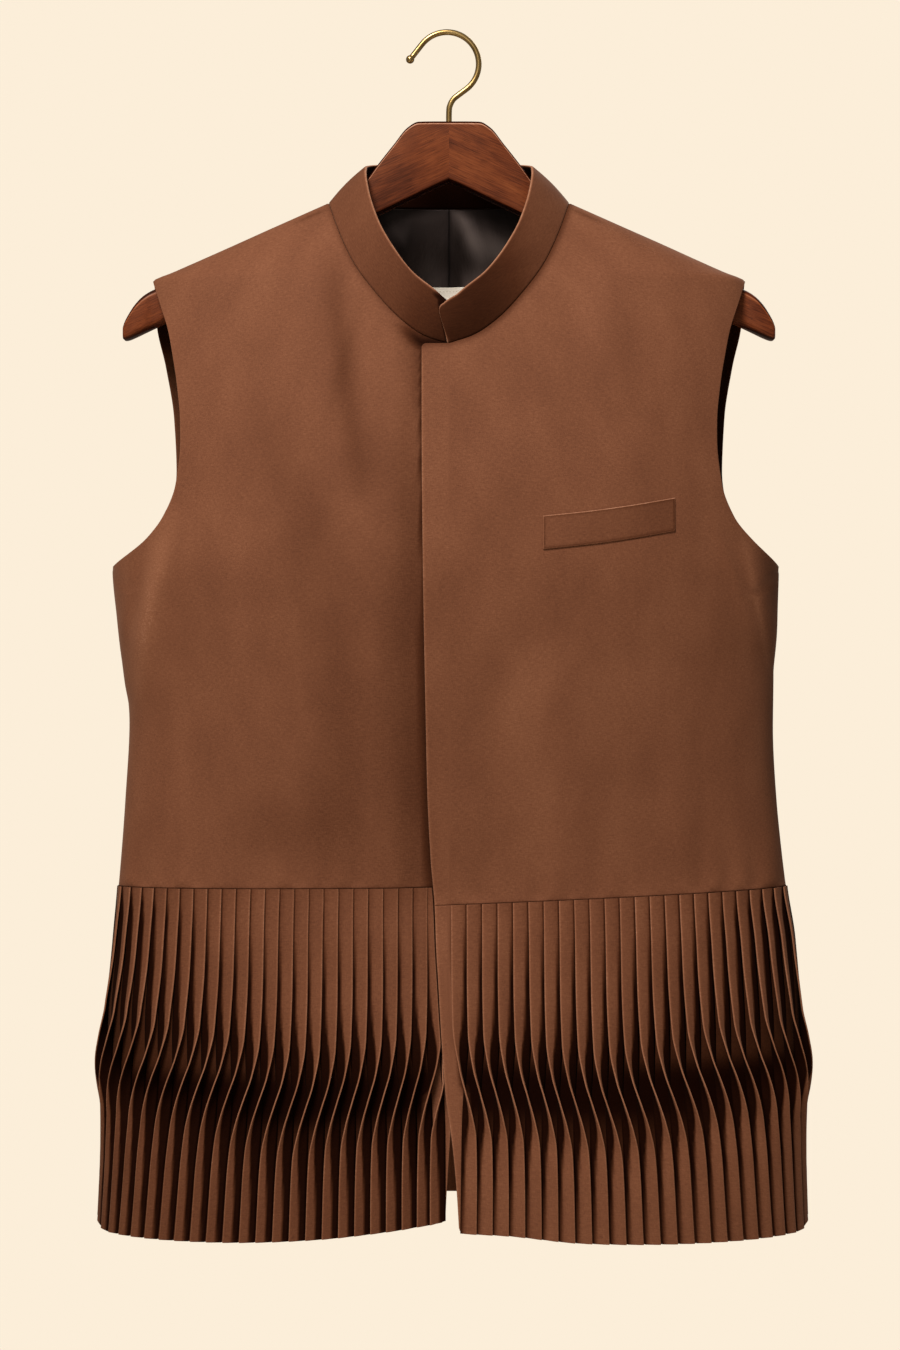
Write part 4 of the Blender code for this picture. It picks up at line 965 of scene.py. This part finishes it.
skirt = {
    "tucks": 24, "foldHeight": 9.4, "foldThickness": 1.1, "bow": 0.7, "rootRamp": 3.4,
    # how far the first tuck is from the centre line, the last from the side, the hidden one under the lap
    "first": {("front", "right"): 13.5, ("front", "left"): 10.5, ("back", "right"): 5.6,
              ("back", "left"): 5.6},
    "last": 5.8, "hidden": 4.6, "edgeClearance": 0.9, "railRows": 64,
    "seed": 7, "turnSpread": 1.2, "rootSpread": 0.25,
    "flarePowers": [(-590, 6.0), (-665, 5.0), (-760, 2.4), (-826, 2.0)],  # how much goes to the side
    # how much higher a fold turns over, by its share of the seam
    "turns": [(0, 6), (0.2, 0), (0.4, -9), (0.55, -3), (0.7, 5), (1, 12)],
    # height and the sine of the lean: towards the centre below zero, outwards above it
    "leans": [(-585, -0.985), (-600, -0.968), (-645, -0.96), (-682, -0.88), (-704, -0.52), (-720, 0.0),
              (-736, 0.52), (-752, 0.86), (-785, 0.955), (-826, 0.98)],
    # how open the folds look, by height, and more by the side: their insides get painted shade
    "open": [(-585, 0.16), (-605, 0.21), (-640, 0.29), (-665, 0.36), (-680, 0.48), (-692, 0.72), (-701, 0.96),
             (-706, 1.0), (-722, 1.0), (-736, 0.85), (-750, 0.60), (-770, 0.45), (-800, 0.37), (-826, 0.32)],
    "sideOpen": [(0, 0), (0.6, 0), (0.8, 0.09), (0.93, 0.30), (1, 0.42)],
    # each side's share of that at the turn and below it, and a painted shade of its own above and below
    "midOpen": {"right": 0.98, "left": 0.85}, "lowOpen": {"right": 1.1, "left": 0.72},
    "shade": {"right": (0.15, 0.26), "left": (0.07, 0.0)}, "baseShade": 0.7, "insideShade": 0.4,
    "sideCorner": 9.5, "frontCorner": 3.2,  # how round the hem's corners are
}
leanAt, openAt, sideOpenAt, turnAt, flarePowerAt = (
    steadyCurve(skirt[name]) for name in ("leans", "open", "sideOpen", "turns", "flarePowers"))


def hemZ(face, side, x):
    width = sectionAt[side](sectionRows[-1][0])
    z = hemAt["back" if face == "back" else side](x / width) + roundedBy(skirt["sideCorner"], width - x)
    if face == "front":
        z = z + roundedBy(skirt["frontCorner"], x - freeEdgeAt[side](z))
    return z


def skirtSpot(face, side, share, x):  # place between the hip seam and the hem
    return mix(hipZ(face, side, x), hemZ(face, side, x), share)


def skirtLevel(face, side, share):  # one level: its length, the middle's height, and places along it
    x = sectionAt[side](skirtSpot(face, side, share, sectionAt[side](cut["hipSideZ"])))
    x = x * np.sin(np.linspace(0, math.pi / 2, 241))
    along = lengthsAlong(surfacePoint(face, side, x, skirtSpot(face, side, share, x)))

    def at(distance, out=0.0):  # past the centre line the distance is taken straight across
        spot = np.where(distance < 0, distance, np.interp(distance, along, x))
        return surfacePoint(face, side, spot, skirtSpot(face, side, share, spot), out)
    return along[-1], float(skirtSpot(face, side, share, np.zeros(1))[0]), at


def tuckEdge(face, side, z):  # where the tucks of a quarter have to end by the closure
    if face == "back":
        return 0.0
    edge = float(freeEdgeAt[side](z))
    return edge if side == "left" else max(edge, -float(freeEdgeAt["left"](z)))


def skirtRails(face, side, rng):  # a rail for each tuck, with what its fold needs: tuck by row
    height, clear, first = skirt["foldHeight"], skirt["edgeClearance"], skirt["first"][face, side]
    seam = skirtLevel(face, side, 0.0)[0]
    atSeam = np.linspace(first, seam - skirt["last"], skirt["tucks"])
    if (face, side) == ("front", "right"):  # one more comes out from under the upper front
        atSeam = np.concatenate(([skirt["hidden"]], atSeam))
    turn = rng.normal(0, skirt["turnSpread"], len(atSeam)) + turnAt(atSeam / seam)
    wander = rng.normal(0, skirt["rootSpread"], len(atSeam))
    rows = []
    for share in np.linspace(0, 1, skirt["railRows"]):
        length, middleZ, at = skirtLevel(face, side, share)
        root = atSeam + (length - seam) * (atSeam / seam) ** flarePowerAt(middleZ)
        root = root + wander * math.sin(math.pi * share)
        place, start = at(root, -0.5), at(root)
        z = place[:, 2]
        lean = leanAt(z - turn)
        shift = np.clip(height * lean, tuckEdge(face, side, middleZ) + clear - root, length - clear - root)
        leaning = np.abs(lean) > 0.05
        reach = np.where(leaning, shift / np.where(leaning, height * lean, 1), 1)
        step = np.where(np.abs(shift) < 1, 1.0, shift)
        middle, below = smooth((-660 - z + turn) / 25), smooth((-730 - z + turn) / 25)
        # how far the painted shade opens in the gaps, and a painted shade of its own
        opened = openAt(z - turn) * mix(mix(1, skirt["midOpen"][side], middle), skirt["lowOpen"][side], below)
        bySide = sideOpenAt(atSeam / seam) * smooth((-584 - z) / 30) * smooth((z + 730) / 30)
        rows.append({"place": place * mm, "outward": unit(at(root, 1.0) - start),
                     "sideways": unit((at(root + step) - start) / step[:, None]), "lean": lean,
                     "size": np.where(atSeam < first - 1, smooth((-690 - z) / 35), 1.0),
                     "reach": np.clip(reach, 0, 1), "start": root * 3 * mm,
                     "shade": mix(*skirt["shade"][side], below), "open": np.minimum(opened + bySide, 1)})
    return {key: np.stack([row[key] for row in rows], axis=1) for key in rows[0]}


def skirtBase(face, side):  # the plain cloth behind the tucks, with painted shade where they cover it
    part = linesTo(60, rimSteps(240), rimSteps(140))
    rows, covered = [], []
    for share in linesOver(46, 230):
        length, middleZ, at = skirtLevel(face, side, share)
        distance = mix(float(freeEdgeAt[side](middleZ)) if face == "front" else 0.0, length, part)
        rows.append(at(distance))
        firstTip = skirt["first"][face, side] + min(skirt["foldHeight"] * float(leanAt(middleZ)), 0)
        covered.append(smooth((distance - firstTip) / 3) * max(float(openAt(middleZ)), skirt["baseShade"]))
    grid = np.stack(rows)
    normals = gridNormals(grid)
    normals[:, -1] = sideSeamNormals(grid, side)
    return grid, normals, np.stack(covered)


def addRails(mesh, rails):  # loose lines beside the base, each point with its values
    count, rows = rails["lean"].shape
    start = len(mesh.vertices)
    total = start + count * rows
    spots = np.arange(start, total).reshape(count, rows)
    pairs = np.stack([spots[:, :-1], spots[:, 1:]], -1).ravel()
    mesh.vertices.add(count * rows)
    mesh.edges.add(count * (rows - 1))
    for items, key, added in ((mesh.vertices, "co", rails["place"].ravel()), (mesh.edges, "vertices", pairs)):
        values = np.empty(len(items) * (3 if key == "co" else 2), added.dtype)
        items.foreach_get(key, values)
        values[-len(added):] = added
        items.foreach_set(key, values)
    for name, added in rails.items():
        values = np.zeros((total, added[0, 0].size))
        values[start:] = added.reshape(count * rows, -1)
        addValues(mesh, name, values)
    flags = mesh.attributes.new("isRail", "BOOLEAN", "POINT")
    flags.data.foreach_set("value", np.arange(total) >= start)


def makeSkirt():
    rng = np.random.default_rng(skirt["seed"])
    sizes = {"Fold Height": skirt["foldHeight"] * mm, "Fold Thickness": skirt["foldThickness"] * mm,
             "Bow": skirt["bow"] * mm, "Root Ramp": skirt["rootRamp"] * mm, "Cloth": suiting}
    for face in facings:
        for side in sides:
            name = f"skirt_{face}_{side}"
            grid, normals, covered = skirtBase(face, side)
            # painted highlights along the hem and the centre edge, painted shade under the tucks and inside
            base = shell(name + "Base", grid, normals, clothThickness["skirt"], hangingGrain(grid),
                         edgeHighlight(grid, (0, True), (1, False)), (covered, skirt["insideShade"]))
            rails = skirtRails(face, side, rng)
            addRails(base, rails)
            mesh = tucks.apply(linked(name + "Source", base), sizes, suiting)
            turnOutwards(mesh)
            for label in sorted({*rails, "isRail", "rise", "flank"} & set(mesh.attributes.keys())):
                mesh.attributes.remove(mesh.attributes[label])
            made = finishPiece(piece(name + "_cloth", mesh, suiting), "suiting", name)
    print("skirt ready")


# small cloth

def surfaceTree(grid):  # the outside of a grid, for laying pieces on it
    rows, columns = grid.shape[:2]
    faces = gridFaces(np.arange(rows * columns).reshape(rows, columns))
    return BVHTree.FromPolygons(grid.reshape(-1, 3).tolist(), faces.tolist())


def laidOn(tree, x, z, out):  # points where (x, z) meets a surface seen from the front
    hits = [tree.ray_cast((a, -300.0, b), (0, 1, 0))[0] for a, b in zip(x.ravel(), z.ravel())]
    points = np.array(hits).reshape(*x.shape, 3)
    points[..., 1] -= out
    return points


# the last four numbers are painted: highlight on its edges, a dark line inside them, shade towards the outer
# end, and shade inside
welt = {"inner": (62.5, -348.5), "outer": (151.6, -335.4), "height": 22.4, "bow": -1.3, "off": 0.08,
        "puff": 0.2, "edgeHighlight": 0.7, "paintedEdgeShade": 0.55, "outerShade": 0.2, "insideShade": 0.8}
labelPlan = {"width": 60.0, "topZ": -167.0, "height": 30.0, "off": 0.3, "ripple": 0.25, "depth": 1.2,
             "stitches": {"Pitch": 2.4 * mm, "Stitch Length": 1.7 * mm, "Thread Radius": 0.16 * mm,
                          "Seed": 5}}


def makeWelt(grid):
    share, rise = np.meshgrid(linesOver(60, 88), linesOver(16, 22))
    (x0, z0), (x1, z1) = welt["inner"], welt["outer"]
    arch = np.sin(math.pi * share)
    z = mix(z0, z1, share) + welt["bow"] * arch + (0.5 - rise) * welt["height"]
    stand = welt["off"] + clothThickness["welt"] + welt["puff"] * (1 - rise) * arch
    points = laidOn(surfaceTree(grid), mix(x0, x1, share), z, stand)
    away = rimDistance(points)
    # painted highlights along the welt's edges
    worn = edgeHighlight(points, (0, False)) + welt["edgeHighlight"] * nearTo(away, 0.45)
    # a painted dark line just inside the rim, and painted shade towards the outer end
    paintedEdgeShade = welt["paintedEdgeShade"] * nearTo(away - 1.1, 0.5)
    paintedEdgeShade += welt["outerShade"] * smooth(share) * smooth(away / 2)
    mesh = shell("pocketWelt", points, gridNormals(points), clothThickness["welt"], bandGrain(points), worn,
                 (paintedEdgeShade, welt["insideShade"]))
    made = finishPiece(piece("pocket_welt_cloth", mesh, suiting), "suiting", "pocket_welt")
    print("welt ready")


liningPlan = {
    # the last three numbers paint its colour: a base brightness, painted highlights, and a painted dark line
    # at its rims
    "width": 0.86, "off": 0.3, "slack": 1.1, "paintedShine": 0.3, "highlight": 0.7, "edgeDark": 0.5,
    # its soft folds: top x and z, low x and z, width, depth
    "folds": {
        ("back", "left"): [(5, -112, 34, -186, 8, 1.6), (28, -114, 66, -170, 8, 1.2),
            (4, -142, 24, -240, 8, 2.4), (40, -190, 90, -330, 12, 3.0), (20, -300, 60, -520, 14, 3.0)],
        ("back", "right"): [(44, -118, 10, -178, 7, 1.7), (62, -118, 40, -190, 8, 1.6),
            (50, -220, 24, -380, 12, 3.0), (90, -300, 70, -540, 14, 3.0)]},
}


def makeLining(grids):
    linings = {}
    for side in sides:
        grid, normals = grids["back", side]
        part = (slice(1, -2), slice(int(grid.shape[1] * liningPlan["width"])))
        directions = normals[part]
        inner = grid[part] - directions * (clothThickness["body"] + liningPlan["off"])
        x, z = np.abs(inner[..., 0]), inner[..., 2]
        slack = np.sin(x / 19 + z / 70 + sides[side]) * np.sin(z / 52 + 0.8) * smooth(x / 30)
        slack = liningPlan["slack"] * slack + foldHeight("back", side, x, z, liningPlan["folds"], 0.6)
        slack *= smooth(rimDistance(inner) / 12)
        inner = inner - directions * np.maximum(slack, 0)[..., None]
        inner[:, 0, 0] = 0.0
        linings[side] = (inner, directions)
        # painted highlights on a base brightness, less a painted dark line at the rims
        paintedShine = foldHeight("back", side, np.abs(inner[..., 0]), inner[..., 2], liningLightShade)
        paintedShine = (liningPlan["paintedShine"] + liningPlan["highlight"] * paintedShine
                 - liningPlan["edgeDark"] * nearTo(rimDistance(inner), 1.2))
        mesh = shell(f"lining{side.title()}", inner, directions, clothThickness["lining"],
                     hangingGrain(inner), paintedShine)
        made = finishPiece(piece(f"lining_{side}_cloth", mesh, satin), "lining", f"lining_{side}")
    print("lining ready")
    return linings


def makeLabel(linings):
    right, left = (grid - normals * clothThickness["lining"]
                   for grid, normals in (linings["right"], linings["left"]))
    tree = surfaceTree(np.concatenate((right[:, ::-1], left[:, 1:]), axis=1))
    across, down = np.meshgrid(linesOver(40, 60), linesOver(22, 30))
    ripple = labelPlan["ripple"] * np.sin(across * 9 + 0.5) * np.sin(down * math.pi)
    points = laidOn(tree, labelPlan["width"] * (across - 0.5), labelPlan["topZ"] - labelPlan["height"] * down,
                    labelPlan["off"] + np.maximum(ripple, 0))
    points[..., 1] = np.minimum(points[..., 1], points[..., 1].min(axis=0) + labelPlan["depth"])
    normals = gridNormals(points)
    normals = normals * np.where(normals[..., 1:2] > 0, 1, -1)
    mesh = shell("labelTape", points, normals, clothThickness["label"], bandGrain(points))
    made = finishPiece(piece("label_tape", mesh, tape), "label", "label")
    run = slice(6, -6)
    ring = np.concatenate((points[5, run], points[run, -6], points[-6, run][::-1], points[run, 5][::-1]))
    seam = stitchRun("labelStitches", ring + (0, -clothThickness["label"] - 0.1, 0),
                     np.tile((0, -1, 0), (len(ring), 1)), thread, labelPlan["stitches"])
    finishPiece(piece("label_stitches", seam, thread), "label")
    print("label ready")


grids = makePanels()
makeCollar()
makeSkirt()
makeWelt(grids["front", "left"][0])
makeLabel(makeLining(grids))


# hanger

hanger = {
    # distance from the middle, top, bottom, half depth and edge rounding
    "beams": [
        (0.005, -60.8, -101.6, 8.0, 2.6), (10, -60.8, -105.9, 8.0, 2.6), (21, -61.0, -111.2, 8.0, 2.6),
        (28.5, -65.0, -114.8, 8.0, 2.6), (38, -76.6, -119.3, 8.0, 2.6), (49.5, -91.2, -124.8, 8.0, 2.6),
        (57, -101.4, -128.6, 7.6, 2.6), (70, -115.2, -135.3, 7.2, 2.6), (84, -124.6, -142.4, 7.4, 2.6),
        (110, -136.4, -155.6, 7.8, 3.0), (140, -149.8, -170.8, 8.4, 3.4), (170, -163.2, -186.1, 9.0, 4.0),
        (195, -173.8, -198.8, 8.4, 4.8), (204, -176.8, -203.2, 7.9, 4.8), (211, -181.1, -206.4, 8.6, 4.6),
        (217, -187.4, -209.2, 8.9, 4.4), (221.5, -194.4, -211.0, 8.7, 4.0),
        (225.4, -201.8, -211.8, 8.2, 3.4)],
    "endRound": 2.5, "endShrink": 2.0,
    "grainSlope": math.radians(24), "armsApart": 400.0,  # the two arms come from different wood
    "holeRadius": 2.4, "holeDepth": 26.0,
    # edges of the section with a painted dark outline or, above zero, a painted pale highlight line, by their
    # place in its ring
    "edges": {8: -0.9, 9: -0.9, 10: -0.9, 11: -0.8, 12: 1.1, 17: -0.5, 18: -0.9, 19: -0.9, 20: -0.9},
}


def tubeFaces(rings, around):  # faces between rings of points, and at the two ends
    index = np.arange(rings * around).reshape(rings, around)
    return gridFaces(np.hstack((index, index[:, :1]))).tolist() + [index[0].tolist(), index[-1].tolist()]


def hangerRing(deep, top, bottom, radius):  # a section with rounded edges
    ring = []
    inY, top, bottom = deep - radius, top - radius, bottom + radius
    for y, z, start in ((inY, top, 0), (-inY, top, 90), (-inY, bottom, 180), (inY, bottom, 270)):
        for turn in (math.radians(start + 15 * k) for k in range(7)):
            ring.append((y + radius * math.cos(turn), z + radius * math.sin(turn)))
    return ring


def makeHanger():
    curves = [steadyCurve([(beam[0], beam[k]) for beam in hanger["beams"]]) for k in range(1, 5)]
    first, last, tip = hanger["beams"][0][0], hanger["beams"][-1][0], hanger["endRound"]
    tipTurns = np.linspace(0.2, 1.45, 8)
    stations = np.concatenate((np.linspace(first, last - tip, 150), last - tip * np.cos(tipTurns)))
    cosine, sine = math.cos(hanger["grainSlope"]), math.sin(hanger["grainSlope"])
    for side, sign in sides.items():
        points = []
        for x in stations:
            top, bottom, deep, radius = (float(curve(x)) for curve in curves)
            into = max(x - last + tip, 0) / tip
            shrink = hanger["endShrink"] * (1 - math.sqrt(max(1 - into ** 2, 0)))
            ring = hangerRing(deep - shrink, top - shrink, bottom + shrink, max(radius - shrink * 0.4, 1.0))
            points += [(sign * x, y, z) for y, z in ring]
        points = np.array(points)
        away, y, z = points[:, 0] * sign, points[:, 1], points[:, 2]
        along = away * cosine - z * sine + hanger["armsApart"] * (sign > 0)
        grain = np.stack([along, away * sine + z * cosine, y], -1)
        edges = np.tile([hanger["edges"].get(k, 0.0) for k in range(len(ring))], len(stations))
        # painted on the edges near the neck, and less at the arm's end
        worn = edges * np.maximum(smooth((84 - away) / 14), 0.4 * smooth((away - 196) / 10))
        mesh = facedMesh(f"hangerArm{side.title()}", points, tubeFaces(len(stations), len(ring)), grain, worn)
        made = piece(f"hanger_arm_{side}_wood", mesh, walnut)
        boreShankHole(made)
        finishPiece(made, "walnut", f"hanger_arm_{side}")
    print("hanger ready")


def boreShankHole(arm):
    mesh = bpy.data.meshes.new("shankDrill")
    bm = bmesh.new()
    radius = hanger["holeRadius"] * mm
    bmesh.ops.create_cone(bm, cap_ends=True, segments=32, radius1=radius, radius2=radius,
                          depth=2 * hanger["holeDepth"] * mm)
    bmesh.ops.translate(bm, verts=bm.verts, vec=(0, 0, hanger["beams"][0][1] * mm))
    bm.to_mesh(mesh)
    bm.free()
    drill = linked("shankDrill", mesh)
    hole = arm.modifiers.new("shank hole", "BOOLEAN")
    hole.operation, hole.solver, hole.object = "DIFFERENCE", "EXACT", drill
    bored = plainMesh(arm)
    arm.modifiers.clear()
    arm.data = bored
    bpy.data.objects.remove(drill)
    bored.shade_smooth()
    bored.set_sharp_from_angle(angle=math.radians(40))


# hook

hook = {
    "wire": 2.0, "ball": 2.9, "sides": 28, "bend": 22.0, "bendX": -1.4, "bendTurns": (-56, 142),
    "shank": [(0.0, -86.0), (0.0, -66.0), (0.0, -54.0), (0.6, -49.0), (3.0, -44.5), (6.8, -41.3)],
    "tip": (-25.6, -15.2),
}


def throughPoints(points, each):  # a smooth line through all the points
    ends = [points[0] * 2 - points[1], *points, points[-1] * 2 - points[-2]]
    line = []
    for a, b, c, d in zip(ends, ends[1:], ends[2:], ends[3:]):
        for t in (k / each for k in range(each)):
            line.append(0.5 * (2 * b + (c - a) * t + (2 * a - 5 * b + 4 * c - d) * t ** 2
                               + (3 * b - a - 3 * c + d) * t ** 3))
    return line + [points[-1]]


def makeHook():
    wire, ball, bend, around = hook["wire"], hook["ball"], hook["bend"], hook["sides"]
    turns = (math.radians(mix(*hook["bendTurns"], k / 20)) for k in range(21))
    arc = [(hook["bendX"] + bend * math.cos(turn), wire - bend + bend * math.sin(turn)) for turn in turns]
    places = [Vector(place) for place in (*hook["shank"], *arc, hook["tip"])]
    line = [(place, wire) for place in throughPoints(places, 6)]
    tip, onward = line[-1][0], (line[-1][0] - line[-2][0]).normalized()
    start = math.asin(wire / ball)
    for k in range(1, 15):
        turn = mix(start, math.pi * 0.985, k / 14)
        line.append((tip + onward * ball * (math.cos(start) - math.cos(turn)), ball * math.sin(turn)))
    points = []
    for k, (place, radius) in enumerate(line):
        run = (line[min(k + 1, len(line) - 1)][0] - line[max(k - 1, 0)][0]).normalized()
        for turn in (2 * math.pi * j / around for j in range(around)):
            spot = place + Vector((-run.y, run.x)) * radius * math.cos(turn)
            points.append((spot.x, radius * math.sin(turn), spot.y))
    mesh = facedMesh("hookWire", points, tubeFaces(len(line), around))
    finishPiece(piece("hook_wire", mesh, brass), "brass", "hook")
    print("hook ready")


makeHanger()
makeHook()


# floor, light and camera

studio = {
    "floor": {"radius": 1.7, "z": -1.65, "color": (0.86, 0.79, 0.68)},
    # place, target, size, power, color
    "lights": {
        "keyLight": ((-0.72, -1.84, 1.75), (0, 0, -0.42), 1.0, 93, (1.0, 0.94, 0.87)),
        "fillLight": ((-0.4, -2.3, -0.1), (0, 0, -0.3), 1.0, 3, (1.0, 0.94, 0.87)),
        "rimLight": ((0.9, 1.6, 0.9), (0, 0, -0.4), 1.0, 8, (1.0, 0.96, 0.9)),
        "neckLight": ((0.12, -1.8, 0.24), (0, 0.06, -0.19), 0.4, 13, (1.0, 0.95, 0.88)),
    },
    # the lining and label alone get the neck light
    "insideNeck": ("lining_right_cloth", "lining_left_cloth", "label_tape", "label_stitches"),
    "ambient": (0.95, 0.86, 0.73, 1), "ambientStrength": 0.22, "backdrop": (0.973, 0.855, 0.694, 1),
    "camera": (0.0007, -2.0, -0.443), "sensor": 36.0, "seenHalfHeight": 467.3,  # in mm, at the jacket
}


def areaLight(name, place, target, size, power, color):
    light = bpy.data.lights.new(name, "AREA")
    light.shape, light.size, light.energy, light.color = "DISK", size, power, color
    lamp = linked(name, light)
    lamp.location = place
    lamp.rotation_euler = (Vector(target) - Vector(place)).to_track_quat("-Z", "Y").to_euler()
    return lamp


def makeFloor():
    mesh = bpy.data.meshes.new("studioFloor")
    bm = bmesh.new()
    bmesh.ops.create_circle(bm, cap_ends=True, segments=96, radius=studio["floor"]["radius"])
    bmesh.ops.translate(bm, verts=bm.verts, vec=(0, 0, studio["floor"]["z"]))
    bm.to_mesh(mesh)
    bm.free()
    look = Look("paleFloor", studio["floor"]["color"], Roughness=0.9)
    piece("studio_floor", mesh, look.material)


def makeWorld():  # a soft surrounding light, and the backdrop that the camera sees
    world = bpy.data.worlds.new("studio")
    world.use_nodes = True
    bpy.context.scene.world = world
    nodes = Nodes(world.node_tree)
    lit = world.node_tree.nodes["Background"]
    lit.inputs["Color"].default_value = studio["ambient"]
    lit.inputs["Strength"].default_value = studio["ambientStrength"]
    seen = nodes.node("ShaderNodeBackground", {"Color": studio["backdrop"]}).outputs[0]
    rays = nodes.node("ShaderNodeLightPath").outputs["Is Camera Ray"]
    pick = nodes.node("ShaderNodeMixShader", {0: rays, 1: lit.outputs[0], 2: seen}).outputs[0]
    nodes.fill(world.node_tree.nodes["World Output"].inputs["Surface"], pick)


def makeStudio():
    makeFloor()
    makeWorld()
    lamps = {name: areaLight(name, *plan) for name, plan in studio["lights"].items()}
    insideNeck = bpy.data.collections.new("insideNeck")
    for name in studio["insideNeck"]:
        insideNeck.objects.link(bpy.data.objects[name])
    lamps["neckLight"].light_linking.receiver_collection = insideNeck
    camera = linked("frontCamera", bpy.data.cameras.new("frontCamera"))
    camera.location = studio["camera"]
    camera.rotation_euler = (math.radians(90), 0, 0)
    camera.data.sensor_width = studio["sensor"]
    camera.data.lens = studio["sensor"] / 2 * 2000 / studio["seenHalfHeight"]
    bpy.context.scene.view_settings.view_transform = "Standard"
    bpy.context.scene.camera = camera
    print("studio ready")


makeStudio()
